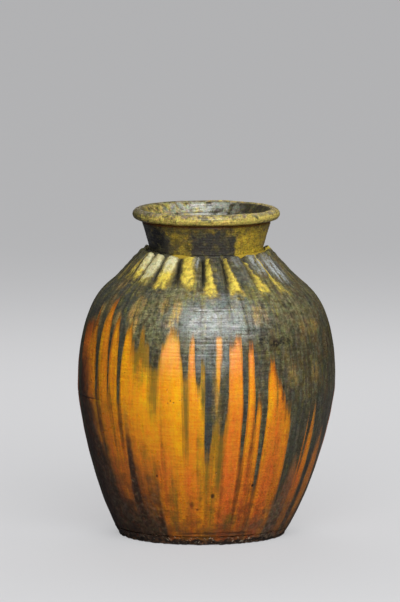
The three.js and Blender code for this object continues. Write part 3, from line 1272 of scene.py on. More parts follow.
# These ovals are a painted highlight on the dark glaze, pale blue-grey.
highlight_places = [
    (5, 314, 24, 28, 0.7), (8, 335, 16, 12, 0.5), (150, 318, 22, 24, 0.5), (3, 268, 11, 26, 0.55),
]
sand_places = [
    (-38, 314, 3.5, 22, 0.9), (-37, 332, 3, 9, 0.9), (-15, 326, 2.5, 14, 0.9), (-18, 312, 2.5, 9, 0.7),
    (-22, 330, 3, 8, 0.7), (27, 318, 4, 12, 0.6), (-48.5, 306, 2.2, 14, 0.8), (-64, 318, 2, 10, 0.8),
    (-66, 300, 5, 12, 0.5), (58, 298, 8, 9, 0.4), (57, 236, 3, 14, 0.4), (42, 236, 3, 14, 0.4),
    (-62, 352, 5, 8, 0.5), (-58, 330, 3, 12, 0.5), (5, 190, 2, 26, 0.5), (4, 232, 1.4, 20, 0.5),
]
soot_places = [
    (-38.2, 96, 2.2, 62, 0.85), (-36.2, 62, 2.2, 34, 0.8), (-25.5, 46, 1.8, 36, 0.8),
    (-30, 18, 14, 12, 0.5), (-50, 12, 12, 10, 0.7), (27, 287, 5, 7, 0.8), (32, 279, 6, 7, 0.8),
    (38, 284, 4, 6, 0.7),
]
dark_places = (blue_places, pale_places, highlight_places, sand_places, soot_places)
print("places in the dark glaze:", sum(map(len, dark_places)))

# %% [markdown]
# The mottle is cloudy above and drawn out into streaks below. Its small flecks each have a slightly
# different hue, because the ash never melted evenly.

# %% Mix the dark glaze
left_shade = ((14, 70), (100, 150))


def mottles(spot):
    """The main mottle and a smaller one, which is centred on 0."""
    cloud = spot.clouds(15, 4, 5.0)
    streak = spot.streaks(1.7, 42, 5, 5.0)
    low = spot.height.step(300, 240) * 0.16 + 0.56
    return cloud + (streak - cloud) * low, spot.clouds(6, 16, 4.0) - 0.5


def shaded(spot, colour):
    """Darker streaks, a left side darkened as painted shade, and soot in the places where it lies."""
    shade = (spot.clouds(11, 73, 5.0) * 0.3 + spot.streaks(2.6, 80, 74, 4.0) * 0.7).step(0.54, 0.38) * 0.34
    shade = shade + (-spot.angle).between(*left_shade) * 0.18
    soot = spot.patches(spot.flat, soot_places) * spot.clouds(6, 80, 5.0).step(0.44, 0.56)
    return spot.lay(colour, burnt_black, shade.most(soot))


def dark_glaze(spot):
    mottle, small = mottles(spot)
    blue = spot.patches(spot.flat, blue_places) * mottle.step(0.7, 0.42)
    blue = blue.most(mottle.step(0.52, 0.40) * 0.4)
    brown = (spot.clouds(26, 6, 4.0) * 0.5 + spot.streaks(3, 80, 7, 3.0) * 0.5).step(0.42, 0.6)
    brown = brown * (0.35 + spot.angle.step(30, 50) * 0.5)
    pale = spot.patches(spot.flat, pale_places) + spot.height.step(285, 330) * 0.1
    pale = pale * (mottle + small * 0.8).step(0.3, 0.66)
    # Painted highlight: pale blue-grey where the lamp above the camera shines on the shoulder.
    painted_silver_highlight = spot.patches(spot.flat, highlight_places) * (mottle + small * 0.6).step(0.3, 0.56)
    thinner = (spot.streaks(1.3, 34, 78, 4.0) * 0.6 + small * 0.6 + 0.2).step(0.46, 0.6)
    colour = spot.lay(dark_olive, dark_brown, brown)
    colour = spot.lay(colour, ash_grey, thinner * 0.45)
    colour = spot.lay(colour, dark_blue, blue)
    colour = spot.lay(colour, pale_olive, pale)
    colour = spot.lay(colour, highlight_blue_paint, painted_silver_highlight)
    fleck = (spot.clouds(7, 8, 4.0) * 0.4 + spot.streaks(1.6, 34, 9, 3.0) * 0.6).step(0.46, 0.64)
    thin_place = spot.clouds(30, 10).step(0.4, 0.6) * (0.25 + spot.height.step(280, 330) * 0.3)
    colour = spot.lay(colour, fleck_green, fleck * thin_place)
    sand = spot.patches(spot.flat, sand_places) * (fleck * 0.7 + mottle.step(0.36, 0.56) * 0.7)
    colour = shaded(spot, spot.lay(colour, fleck_sand, sand))
    colour = spot.grain(colour, spot.clouds(9, 83, 4.0, hues=True), 0.22)
    colour = spot.grain(colour, spot.clouds(3, 84, 3.0, hues=True), 0.22)
    # Stronger in front, where the lines are also painted glints of the shine on the shoulder.
    colour = spot.turned(colour, 93, abs(spot.angle).step(50, 18) * 0.2 + 0.08)
    return {"colour": spot.speckled(colour, 93, 0.24)}


rib_foot = 335.0
ash = mixture("ash", dark_glaze)
ash_above = mixture("ash_above", dark_glaze, upper_seam)
ash_on_ribs = mixture("ash_on_ribs", dark_glaze, rib_foot)

# %% [markdown]
# ## The glazed body
#
# A mask made from the bands lays the dark glaze over the amber one. Uneven noise moves each end up and
# down. A drip fades over a long way at its low end, and a window has a crisp top, so the fade gets
# shorter as the end lies higher. The thin edge is read at two angles and averaged, which softens its
# sides.

# %% Say where the glaze has run
thick_fade = (34, 15)
thin_fade = (60, 24)
low_end = 120
high_end = 270
side_softness = 0.5


def run_mask(spot, angle, column, fades, rough):
    """1 where the glaze has run over. Column 1 is the thick glaze and column 2 its thin edge."""
    front = [(corner[0], corner[column]) for corner in front_line]
    back = [(corner[0], corner[column]) for corner in back_line]
    ends = read_round(spot, angle, front, back, tallest)
    fade = ends.step(high_end, low_end) * (fades[0] - fades[1]) + fades[1]
    return ((spot.height + rough * fade - ends) / fade).step(-0.75, 0.25)


def thin_mask(spot, angle, rough):
    left = run_mask(spot, angle - side_softness, 2, thin_fade, rough)
    right = run_mask(spot, angle + side_softness, 2, thin_fade, rough)
    return (left + right) / 2


print("fades:", thick_fade, "mm thick and", thin_fade, "mm thin")

# %% [markdown]
# The foot is burnt brown, black on the left, partly burnt and partly painted shade, and greyer on the
# right, and the burning fades upwards in long threads. Its colour is built up like the glazes, with
# rust and ash in small blotches.

# %% Burn the foot
burnt_brown = paint(66, 57, 45)
burnt_grey = paint(102, 86, 68)
black_and_shaded_side = ((60, 72), (96, 150))
grey_side = ((20, 44), (110, 150))


def scorched_clay(spot):
    # Painted shade, partly: the left side of the burnt foot goes near black.
    left = (-spot.angle).between(*black_and_shaded_side) * 0.92
    black = left.most(spot.clouds(14, 17, 5.0).step(0.46, 0.62) * 0.6)
    black = black.most(spot.patches(spot.flat, soot_places))
    right = spot.angle.between(*grey_side)
    colour = spot.lay(burnt_brown, burnt_grey, right * 0.85)
    colour = spot.lay(colour, burnt_black, black * (1 - right * 0.7))
    colour = spot.lay(colour, dark_blue, spot.patches(spot.flat, blue_places))
    ashen = spot.clouds(6, 98, 5.0).step(0.5, 0.66) * (0.45 - left * 0.3)
    colour = spot.lay(colour, burnt_grey, ashen)
    rusty = (spot.clouds(9, 75, 5.0) + spot.streaks(1.6, 60, 79, 3.0) * 0.3).step(0.68, 0.84)
    colour = spot.lay(colour, amber_brown, rusty * 0.5)
    colour = spot.grain(colour, spot.clouds(5, 85, 4.0, hues=True), 0.5)
    return spot.grain(colour, spot.clouds(4, 92, 3.0).step(0.3, 0.7), 0.6)


def burn(spot, colour, angle, rough):
    """Lays the burnt foot over a colour, and says how burnt it is."""
    ends = read_round(spot, angle, front_burn, back_burn, tallest)
    patchy = (spot.clouds(22, 18, 5.0) - 0.5) * 110
    burnt = (ends - spot.height + rough * 34 + patchy).step(-58, 50) * 0.95
    return spot.lay(colour, scorched_clay(spot), burnt), burnt


print("burnt up to", max(height for angle, height in front_burn), "mm at the left edge")

# %% [markdown]
# Small damage comes last: dark pits where bubbles burst, the joint above the base and an open seam on
# the left, both full of dirt. The inside of the body was left bare, and is brown in the dark.

# %% List the small damage
inside_brown = paint(64, 48, 34)
pit_black = paint(34, 20, 22)
window_places = [(6.0, 284, 1.45, 30, 0.9), (5.3, 250, 0.9, 34, 0.9), (4.7, 216, 0.7, 26, 0.4)]
glaze_pits = [
    (4.7, 73, 0.9, 3.6, 0.85), (-6.5, 60, 1.1, 4.5, 0.5), (25.9, 86, 0.7, 1.8, 0.9),
    (-24.5, 100, 0.5, 2.0, 0.8), (-16, 206, 0.35, 1.2, 0.6), (-3.4, 53, 0.7, 1.6, 0.6),
    (-14.5, 204, 0.3, 1.1, 0.6), (-17.2, 203, 0.3, 1.0, 0.5), (36.6, 222, 0.5, 4, 0.7),
]
joint_height = 17.2
joint_ends = ((-16, -10), (30, 36))
crack_ends = ((58, 66), (98, 112))


def damaged(spot, colour, uneven, pits):
    joint = abs(spot.height - joint_height).step(1.6, 0.5) * spot.angle.between(*joint_ends)
    seam = abs(spot.height + uneven * 3 - crack_height).step(1.5, 0.4) * (-spot.angle).between(*crack_ends)
    colour = spot.lay(colour, pit_black, (joint * 0.55).most(seam * 0.7))
    return spot.lay(colour, pit_black, pits)


print("pits:", len(glaze_pits))

# %% [markdown]
# Now the layers go on in the order in which they lie: amber, the thin wash at the edge of the runs, the
# burnt foot, the thick dark glaze and the damage. In one window near the middle the runs are thinned
# in listed places, because the amber shines through them there. The shoulder has no burnt foot, so its
# mixture leaves that out.

# %% Lay the glazes over each other
window_top = (289, 296)
grey_wash = ((40, 46), (110, 150))


def body_glazes(spot):
    above = spot.lowest > 0
    angle = drifted_angle(spot)
    fine, broad = spot.streaks(1.4, 70, 12, 4.0) - 0.5, spot.streaks(4, 90, 13, 4.0) - 0.5
    rough = fine * 0.8 + broad * 0.8 + (spot.clouds(12, 76, 4.0) - 0.5) * 0.8
    below_top = spot.height.step(window_top[1], window_top[0])
    covered = 1 - spot.patches(spot.laid_flat(angle), window_places) * below_top
    thin = thin_mask(spot, angle, rough) * (0.7 + fine * 1.2) * covered
    thick = run_mask(spot, angle, 1, thick_fade, rough) * covered
    wash = spot.lay(wash_olive, wash_brown, abs(spot.angle + 14).step(20, 31))
    wash = spot.lay(wash, burnt_grey, spot.angle.between(*grey_wash) * 0.8)
    colour = spot.lay(poured(spot.graph, amber_above if above else amber), wash, thin.least(0.85))
    burnt = thick * 0
    if not above:
        colour, burnt = burn(spot, colour, angle, rough)
    colour = spot.lay(colour, poured(spot.graph, ash_above if above else ash), thick)
    speck = spot.clouds(3, 19, 2.0).step(0.66, 0.72) * spot.clouds(40, 20).step(0.48, 0.6)
    pits = spot.patches(spot.flat, glaze_pits).most(speck * 0.6)
    colour = damaged(spot, colour, broad, pits)
    bare = spot.lay(inside_brown, burnt_black, spot.clouds(16, 68, 4.0).step(0.4, 0.62) * 0.7)
    inner = spot.facing_inwards()
    colour = spot.lay(colour, bare, inner)
    return {"colour": colour, "thick": thick, "pits": pits, "burnt": burnt.most(inner)}


body_glaze_mix = mixture("glazed_body", body_glazes)
shoulder_glaze_mix = mixture("glazed_shoulder", body_glazes, upper_seam)

# %% [markdown]
# ## The surface of the glaze
#
# The glaze is glossy and uneven. Its relief has three parts: the fine pimples of orange peel, shallow
# hollows a centimetre apart, and the level scratches that the wheel left in the clay below. They feed
# a Bump node, because they are finer than the mesh. Where a glaze lies thick it stands a little higher,
# and where the clay is burnt or bare it is duller.

# %% Make the shader of a glaze
bump_strength = 0.9
glaze_ior = 1.5
peel_layers = ((2.4, 21, 3.0, 0.16), (6, 22, 3.0, 0.36), (15, 24, 2.0, 0.5))


def finish_glaze(graph, colour, thick=0.0, pits=0.0, dull=0.0):
    """Joins a glaze's colour to a shader with its gloss and its fine relief, and ends the material."""
    spot = Spot(graph)
    height = spot.wheel_lines(7.0, 1.8, 0, 3.0) * 0.15
    for size, seed, detail, share in peel_layers:
        height = height + spot.clouds(size, seed, detail) * share
    height = height + thick * 0.3 - pits * 0.5
    bump = graph.node("ShaderNodeBump", None, {"Strength": bump_strength, "Distance": mm, "Height": height})
    gloss = (spot.clouds(9, 23, 4.0) - 0.5) * 0.5 + 0.32 + dull * 0.3
    sockets = {"Base Color": colour, "Roughness": gloss, "Normal": bump, "IOR": glaze_ior}
    shader = graph.node("ShaderNodeBsdfPrincipled", None, sockets)
    graph.node("ShaderNodeOutputMaterial", None, {"Surface": shader})


print("layers of orange peel:", len(peel_layers))

# %% [markdown]
# The lower two rings of wall wear the same material, so the glaze runs over the joint between them
# without a break.

# %% Glaze the lower wall and the belly
def wear(piece, material):
    piece.data.materials.clear()
    piece.data.materials.append(material)
    print(piece.name, "wears", material.name)


def body_finish():
    material, graph = start_finish("body_glaze")
    colour = poured(graph, body_glaze_mix)
    finish_glaze(graph, colour, colour.also("thick"), colour.also("pits"), colour.also("burnt"))
    return material


body_glaze = body_finish()
for node in ("lower_wall", "belly_wall"):
    wear(walls[node], body_glaze)

# %% [markdown]
# ## The glaze on the ruff
#
# A bright yellow glaze was dabbed on the left flank of the ribs. It is nearly white at the top, partly
# the glaze's own colour and partly a painted highlight. Each dab runs down, slants with its rib and
# grows wider. An entry gives its angle, height and half width where it starts and where it ends, how
# strongly it covers, and the height above which it is white. The back isn't seen, so its dabs are
# drawn by chance beside its creases.

# %% List the dabs on the ribs
no_white = 500
front_dabs = [
    ((-65.6, 395, 3.0), (-64.4, 362, 3.8), 0.95, no_white),
    ((-57.4, 396, 3.8), (-53.6, 361, 4.8), 0.95, 376),
    ((-42.8, 396, 5.2), (-45.0, 358, 4.4), 0.95, 363), ((-29.4, 396, 5.0), (-29.6, 353, 6.0), 1.0, 375),
    ((-16.4, 396, 5.4), (-11.8, 356, 4.8), 1.0, no_white),
    ((0.6, 396, 1.8), (3.0, 344, 4.4), 0.95, no_white),
    ((15.6, 396, 1.6), (18.6, 344, 4.8), 1.0, no_white),
    ((32.4, 394, 1.0), (37.0, 346, 4.6), 1.0, no_white),
    ((46.0, 388, 0.8), (51.2, 345, 3.6), 0.85, no_white),
    ((-80, 392, 2.4), (-76, 356, 3.0), 0.5, no_white),
]
back_dab_top = 394
back_white_above = 370


def drawn_dabs():
    """Dabs on the ribs that the picture doesn't show."""
    draw = np.random.default_rng(8)
    dabs = []
    for start, end in zip(creases, creases[1:]):
        if start < front_edge + 12 or end > back_end:
            continue
        narrow, wide, reach, cover = draw.uniform([0.9, 2.4, 344, 0.4], [5, 5.2, 362, 1])
        white = back_white_above if draw.random() < 0.3 else no_white
        first = (start + narrow + 0.6, back_dab_top, narrow)
        last = (start + wide + 1.2, reach, wide)
        dabs.append((first, last, cover, white))
    return dabs


all_dabs = front_dabs + drawn_dabs()
print("dabs:", len(all_dabs))

# %% [markdown]
# A dab's mask compares the distance from its slanted middle line with its half width, which grows
# faster and faster downwards. Both are straight sums of the angle and the height, so a few nodes do.

# %% Cut out one dab
dab_edge = (1.35, 0.55)


def dab_mask(graph, flat, height, start, end, cover):
    """How strongly one dab covers, from its two ends."""
    run_down = start[1] - end[1]
    slant = (end[0] - start[0]) / run_down
    line = graph.vector_math("DOT_PRODUCT", flat, (1, slant, 0), output="Value")
    beside = abs(line - (start[0] + slant * start[1]))
    down = ((start[1] - height) / run_down).most(0.0)
    half = down * down * (end[2] - start[2]) + start[2]
    return (beside / half).step(*dab_edge, cover) * height.step(end[1] - 6, end[1] + 9)


print("a dab fades out between", dab_edge[1], "and", dab_edge[0], "times its half width")

# %% [markdown]
# All dabs go into one mixture: their colour, and the share that they cover. Noise moves the angle and
# the height at which they are read, which frays their edges. The shoulder uses the same mixture as the
# ribs, so that a dab can run off the end of a rib onto the wall.

# %% Mix the dabs
rib_yellow = paint(226, 202, 84)
rib_mustard = paint(136, 112, 40)
rib_white_and_highlight = paint(192, 190, 154)
white_softness = 9


def larger(first, second):
    """The larger of two masks, of which the first may not be there yet."""
    return second if first is None else first.most(second)


def rib_dabs(spot):
    angle = spot.angle + (spot.clouds(9, 31, 4.0) - 0.5) * 5
    height = spot.height + (spot.clouds(7, 32, 5.0) - 0.5) * 30
    in_front, at_back = (spot.graph.vector(turn, height) for turn in (angle, angle.all_positive()))
    yellow, white = None, None
    for start, end, cover, white_above in all_dabs:
        flat = at_back if start[0] > front_edge else in_front
        mask = dab_mask(spot.graph, flat, height, start, end, cover)
        yellow = larger(yellow, mask)
        if white_above < no_white:
            # Painted highlight, partly: above a height a dab turns nearly white.
            pale = mask * height.step(white_above - white_softness, white_above + white_softness)
            white = larger(white, pale)
    tone = (spot.clouds(7, 33, 5.0) * 0.65 + spot.streaks(1.6, 20, 34, 3.0) * 0.35).step(0.36, 0.58)
    colour = spot.lay(rib_mustard, rib_yellow, tone * 0.6 + yellow.step(0.4, 1.0) * 0.3)
    colour = spot.lay(colour, rib_white_and_highlight, white * (0.65 + tone * 0.35))
    worn = spot.clouds(4, 35, 3.0).step(0.3, 0.5)
    colour = spot.grain(colour, spot.clouds(4, 86, 3.0, hues=True), 0.2)
    return {"colour": spot.speckled(colour, 94, 0.12), "share": yellow * (worn * 0.45 + 0.55)}


dabs = mixture("dabs", rib_dabs)

# %% [markdown]
# The neck has broad upright patches of mustard between darker ones, and the colour of each carries on
# down over the edge of the shoulder. So both read the same list: the angle, and how much mustard there
# is, from 0 to 1.

# %% List the mustard patches round the neck
front_mustard = [
    (-80, 0.25), (-68, 0.05), (-42, 0.05), (-37, 0.4), (-33, 0.68), (-28, 0.8), (-21, 0.62),
    (-16, 0.46), (-11.5, 0.12), (26, 0.1), (30, 0.5), (32, 0.8), (40, 0.88), (60, 0.9), (80, 0.8),
]
back_mustard = [
    (80, 0.8), (92, 0.7), (103, 0.3), (112, 0.1), (128, 0.15), (140, 0.6), (148, 0.75), (158, 0.6),
    (172, 0.2), (186, 0.1), (203, 0.3), (214, 0.7), (228, 0.75), (240, 0.45), (252, 0.15), (268, 0.1),
    (280, 0.25),
]
neck_mustard = paint(164, 138, 42)
print("entries:", len(front_mustard), "in front and", len(back_mustard), "at the back")

# %% [markdown]
# The shoulder wears the body's glazes and the dabs. Close to the neck it gets a dark line, painted
# shade where the shoulder meets the neck, and then the mustard of the neck.

# %% Glaze the shoulder
# Dark paint in the creases of the ribs, partly thick glaze and partly painted shade, and as painted shade
# by the neck.
crease_shade_and_glaze = paint(36, 35, 30)
neck_foot_shade = (382, 387)
mustard_edge = (386, 389)


def shoulder_finish():
    material, graph = start_finish("shoulder_glaze")
    spot = Spot(graph)
    body = poured(graph, shoulder_glaze_mix)
    dab = poured(graph, dabs)
    colour = spot.lay(body, dab, dab.also("share"))
    by_neck = spot.height + (spot.clouds(6, 38, 3.0) - 0.5) * 5
    mustard = read_round(spot, spot.angle, front_mustard, back_mustard, 1.0).step(0.3, 0.7)
    # Painted shade: a dark line where the shoulder meets the neck.
    colour = spot.lay(colour, crease_shade_and_glaze, by_neck.step(*neck_foot_shade) * 0.9)
    colour = spot.lay(colour, neck_mustard, by_neck.step(*mustard_edge) * mustard * 0.8)
    finish_glaze(graph, colour, body.also("thick"), body.also("pits"), body.also("burnt"))
    return material


wear(walls["shoulder_wall"], shoulder_finish())

# %% [markdown]
# The ribs wear the dark glaze and the dabs. Those at the right have a silvery sheen, partly pale grey
# glaze and partly a painted highlight, and the creases between the ribs are darker, partly dark glaze
# that ran into them and partly painted shade. Their own number, from 0 in the crease to 1 on the crest,
# says where.

# %% Glaze the ribs
rib_silver_highlight = paint(166, 172, 172)
rib_highlight_places = [
    (43, 381, 5, 13, 0.8), (62, 374, 8, 18, 1.0), (-8, 388, 3, 9, 0.6), (25, 386, 4, 7, 0.25),
    (28, 366, 3, 12, 0.12),
]
pool_and_shade_ends = (344, 366)


def rib_finish():
    material, graph = start_finish("rib_glaze")
    spot = Spot(graph, rib_foot)
    standing = graph.node("ShaderNodeAttribute", {"attribute_name": "standing"}, output="Fac")
    # Painted highlight, partly: silvery glints on the crests of some ribs.
    sheen = spot.streaks(2.4, 30, 37, 4.0) * 0.6 + spot.clouds(3, 58, 4.0) * 0.4
    painted_silver_highlight = spot.patches(spot.flat, rib_highlight_places) * sheen.step(0.4, 0.62)
    colour = spot.lay(poured(graph, ash_on_ribs), rib_silver_highlight, painted_silver_highlight)
    dab = poured(graph, dabs)
    colour = spot.lay(colour, dab, dab.also("share"))
    # Darker in the creases: partly dark glaze run thick there, partly painted shade.
    pooled_and_shaded = (standing + (spot.clouds(5, 36, 3.0) - 0.5) * 0.4).step(0.85, 0.25)
    pooled_and_shaded = pooled_and_shaded * spot.height.step(*pool_and_shade_ends)
    finish_glaze(graph, spot.lay(colour, crease_shade_and_glaze, pooled_and_shaded * 0.8), pooled_and_shaded)
    return material


rib_glaze = rib_finish()
for piece in ribs:
    wear(piece, rib_glaze)

# %% [markdown]
# ## The neck, the lip and the bare base
#
# The inside of the neck is pale at the back, partly where the glaze lies thick and partly as a painted
# highlight, mustard at its left and dark at its right, and so is the inside of the lip. One mixture
# serves both, so that the glaze runs on from one to the other.

# %% Mix the glaze of the throat
lip_mustard = paint(182, 164, 84)
lip_olive = paint(84, 78, 48)
inside_pale_and_highlight = paint(150, 152, 140)
inside_dark = paint(54, 50, 38)
inside_places = [(-140, 430, 44, 34, 0.8)]
inside_highlight_places = [(186, 436, 34, 26, 0.85)]


def inside_glaze(spot):
    """The mottled glaze of the throat, and an uneven radius that says where the throat begins."""
    tone = spot.clouds(8, 56, 5.0)
    colour = spot.lay(inside_dark, lip_olive, tone.step(0.46, 0.6) * 0.7)
    colour = spot.lay(colour, lip_mustard, spot.patches(spot.flat, inside_places) * tone.step(0.3, 0.64))
    # Painted highlight, partly: the back of the throat is made pale.
    pale = spot.patches(spot.laid_flat(spot.angle.all_positive()), inside_highlight_places)
    colour = spot.lay(colour, inside_pale_and_highlight, pale * spot.clouds(9, 54, 5.0).step(0.36, 0.56))
    colour = spot.grain(colour, spot.clouds(4, 89, 3.0, hues=True), 0.35)
    return {"colour": colour, "edge": spot.reach + (tone - 0.5) * 6}


throat_glaze = mixture("throat_glaze", inside_glaze)

# %% [markdown]
# On the outside of the neck the mustard patches lie on dark glaze, painted near-black on the left as
# shade, and under the lip a narrow band stayed mustard nearly all round, below a thin brown line of
# painted shadow. The edges of the patches are broken up by adding a mottle before the list is turned
# into a mask.

# %% Glaze the neck
neck_dark = paint(54, 51, 46)
black_specks_and_shade = paint(18, 17, 17)
neck_olive = paint(92, 80, 36)
shadow_line_brown = paint(108, 62, 24)
front_band = [
    (-80, 0.3), (-48, 0.34), (-38, 0.58), (-18, 0.58), (-8, 0.42), (24, 0.4), (30, 0.7), (60, 0.85),
    (80, 0.8),
]
band_rises = (418, 426)
shadow_line_below_top = 2.0
throat_line = 64
throat_slope = 0.36


def mustard_on_neck(spot, tone):
    """Where the neck is mustard: in its patches, and in the band under the lip."""
    patchy = read_round(spot, spot.angle, front_mustard, back_mustard, 1.0)
    band = read_round(spot, spot.angle, front_band, back_mustard, 1.0)
    in_band = (spot.height + (tone - 0.5) * 16).step(*band_rises)
    share = patchy + (band - patchy) * in_band
    return (share + (tone - 0.5) * 1.6).step(0.14, 0.84)


def neck_finish():
    material, graph = start_finish("neck_glaze")
    spot = Spot(graph)
    tone = spot.clouds(9, 44, 5.0) * 0.7 + spot.streaks(5, 22, 45, 4.0) * 0.3
    mustard = mustard_on_neck(spot, tone)
    # Painted shade: the dark glaze of the neck turns near-black on its left side.
    dark = spot.lay(neck_dark, black_specks_and_shade, spot.angle.step(-36, -50) * 0.95)
    dark = spot.lay(dark, lip_olive, spot.clouds(9, 46, 5.0).step(0.48, 0.66) * 0.55)
    # Olive mottle in the mustard, darker on the left as painted shade, most of all low down, and darker
    # just under the lip.
    deep = (spot.clouds(8, 47, 5.0) + spot.angle.step(0, 30) * 0.06).step(0.62, 0.42) * 0.6
    deep = deep + spot.angle.step(0, -20) * (spot.height.step(418, 402) * 0.4 + 0.15)
    deep = deep + spot.height.step(417, 424) * 0.3
    colour = spot.lay(dark, spot.lay(neck_mustard, neck_olive, deep), mustard)
    # Painted shadow: a thin brown line just under the lip's overhang.
    line = abs(spot.height + (tone - 0.5) * 3 - neck_top + shadow_line_below_top).step(2.6, 0.8)
    colour = spot.lay(colour, shadow_line_brown, line * 0.7)
    colour = spot.grain(colour, spot.clouds(3, 87, 3.0, hues=True), 0.3)
    colour = spot.speckled(colour, 95, 0.35)
    inner_side = (spot.reach - throat_line - (spot.height - mouth_height) * throat_slope).step(7, 5)
    colour = spot.lay(colour, poured(graph, throat_glaze), inner_side)
    finish_glaze(graph, colour, mustard * -0.3)
    return material


wear(jar_neck, neck_finish())

# %% [markdown]
# The lip is rubbed. Outside it is a mottle of mustard and olive, with a greyer band on top where hands
# have worn it, and the brown line of painted shadow runs under it.

# %% Glaze the lip
lip_mauve = paint(134, 124, 104)
throat_begins = (91, 87)
worn_band = (443, 447)


def lip_finish():
    material, graph = start_finish("lip_glaze")
    spot = Spot(graph)
    tone = spot.clouds(8, 51, 5.0) * 0.65 + spot.streaks(5, 14, 52, 4.0) * 0.35
    shade = spot.height.step(447, 441) * 0.1 - (-spot.angle).step(38, 75) * 0.12
    shade = shade + spot.angle.step(20, 60) * 0.04
    fine = spot.clouds(4, 57, 4.0) - 0.5
    mustard = (tone + fine * 0.5 + shade).step(0.4, 0.62)
    colour = spot.lay(lip_olive, lip_mustard, mustard)
    worn = spot.height.step(*worn_band) * spot.clouds(7, 53, 4.0).step(0.4, 0.6)
    colour = spot.lay(colour, lip_mauve, worn * 0.75)
    throat = poured(graph, throat_glaze)
    colour = spot.lay(colour, throat, throat.also("edge").step(*throat_begins))
    # Painted shadow: the brown line along the underside of the lip.
    colour = spot.lay(colour, shadow_line_brown, spot.height.step(436.5, 434) * spot.reach.step(84, 86) * 0.7)
    colour = spot.lay(colour, black_specks_and_shade, spot.clouds(2.6, 55, 2.0).step(0.38, 0.3) * 0.35)
    colour = spot.grain(colour, spot.clouds(4, 88, 3.0, hues=True), 0.3)
    colour = spot.speckled(colour, 96, 0.3)
    finish_glaze(graph, colour, mustard * -0.3)
    return material


wear(jar_lip, lip_finish())

# %% [markdown]
# The base was wiped clean of glaze. Its clay is brown, sooty in places, and chipped along the edge,
# where paler clay shows. Above a ragged line the body's glaze still covers it.

# %% Finish the base
clay = paint(86, 62, 44)
clay_dark = paint(30, 25, 22)
chip_white = paint(205, 190, 165)
glaze_line = (6, 9)


def base_finish():
    material, graph = start_finish("bare_clay")
    spot = Spot(graph)
    body = poured(graph, body_glaze_mix)
    bare = spot.lay(clay, clay_dark, spot.clouds(7, 61, 5.0).step(0.38, 0.54) * 0.9)
    run_down = (spot.height + (spot.clouds(8, 62, 4.0) - 0.5) * 22).step(*glaze_line)
    colour = spot.lay(bare, body, run_down)
    chips = spot.clouds(3.5, 63, 3.0).step(0.6, 0.64) * spot.height.step(1, 5)
    chips = chips * (abs(spot.angle - 2).step(50, 18) * 0.75 + 0.25)
    colour = spot.lay(colour, chip_white, chips * 0.7)
    finish_glaze(graph, colour, body.also("thick") * run_down, 0.0, 1 - run_down)
    return material


wear(jar_base, base_finish())

# %% [markdown]
# ## The studio
#
# The jar stands on a plain pale floor. Light bounces off the floor as off a dark one, so that the jar
# isn't lit from below, and only the camera sees it pale. Part of that paleness is an even glow that
# nothing but the camera sees, which keeps the far floor from going dark.

# %% Lay the floor
floor_reach = 14.0
floor_pale = (0.6, 0.6, 0.61, 1)
floor_dark = (0.08, 0.08, 0.085, 1)
glow_share = 0.72


def seen_or_lit(graph, lit_by, seen_as):
    """A mask of what the camera sees, and a colour that differs between the light and the camera."""
    seen = graph.node("ShaderNodeLightPath", output="Is Camera Ray")
    colour = graph.node("ShaderNodeMix", {"data_type": "RGBA"}, {0: seen, 6: lit_by, 7: seen_as}, 2)
    return seen, colour


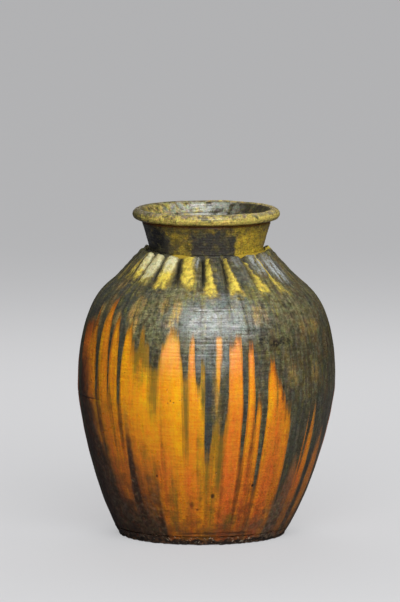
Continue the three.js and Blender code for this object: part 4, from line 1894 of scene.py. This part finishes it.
def make_floor():
    mesh = bpy.data.meshes.new("floor")
    ways = ((-1, -1), (1, -1), (1, 1), (-1, 1))
    mesh.from_pydata([(x * floor_reach, y * floor_reach, 0) for x, y in ways], [], [(0, 1, 2, 3)])
    floor = bpy.data.objects.new("floor", mesh)
    bpy.context.scene.collection.objects.link(floor)
    material, graph = start_finish("floor_paint")
    seen, colour = seen_or_lit(graph, floor_dark, floor_pale)
    paint_coat = graph.node("ShaderNodeBsdfDiffuse", None, {"Color": colour})
    glow = graph.node("ShaderNodeEmission", None, {"Color": floor_pale})
    both = graph.node("ShaderNodeMixShader", None, {0: seen * glow_share, 1: paint_coat, 2: glow})
    graph.node("ShaderNodeOutputMaterial", None, {"Surface": both})
    mesh.materials.append(material)
    print("floor:", 2 * floor_reach, "m wide")


make_floor()

# %% [markdown]
# One broad lamp above the camera makes the soft highlight on the shoulder, and only it is mirrored in
# the glaze. The others fill the shadows. The right side gets more light than the left one, as in the
# picture.

# %% Light the studio
def soft_light(name, azimuth, lift, distance, size, power, mirrored=False):
    """A rectangular light that faces the jar. Azimuth is 0 in front and 90 at the right."""
    data = bpy.data.lights.new(name, "AREA")
    data.shape = "RECTANGLE"
    data.size, data.size_y = size
    data.energy = power
    lamp = bpy.data.objects.new(name, data)
    bpy.context.scene.collection.objects.link(lamp)
    turn, rise = math.radians(azimuth), math.radians(lift)
    way = Vector((math.cos(rise) * math.sin(turn), -math.cos(rise) * math.cos(turn), math.sin(rise)))
    lamp.location = jar_middle + distance * way
    lamp.rotation_euler = (-way).to_track_quat("-Z", "Y").to_euler()
    lamp.visible_glossy = mirrored
    print(name, "at", [round(v, 2) for v in lamp.location])


soft_light("key", 8, 40, 2.4, (1.7, 1.2), 62, mirrored=True)
soft_light("front_fill", 4, 18, 4.5, (2.6, 2.2), 78)
soft_light("left_fill", -80, 20, 4.0, (1.8, 1.8), 6)
soft_light("right_fill", 80, 20, 4.0, (1.8, 1.8), 26)
soft_light("back_key", 180, 42, 2.4, (1.4, 0.9), 34)
soft_light("back_left", -142, 30, 2.6, (1.0, 1.0), 8)
soft_light("back_right", 142, 30, 2.6, (1.0, 1.0), 10)

# %% [markdown]
# The room itself is dim, and only the camera sees it pale, as with the floor. Colours are shown as they
# are, without the look of a film.

# %% Set the room
room_seen = (0.55, 0.55, 0.56, 1)
room_light = (0.05, 0.051, 0.054, 1)
world = bpy.data.worlds.new("studio")
bpy.context.scene.world = world
world.use_nodes = True
world.node_tree.nodes.clear()
room = Wire(world.node_tree)
backdrop = room.node("ShaderNodeBackground", None, {"Color": seen_or_lit(room, room_light, room_seen)[1]})
room.node("ShaderNodeOutputWorld", None, {"Surface": backdrop})
bpy.context.scene.view_settings.view_transform = "Standard"
print("world nodes:", len(world.node_tree.nodes))
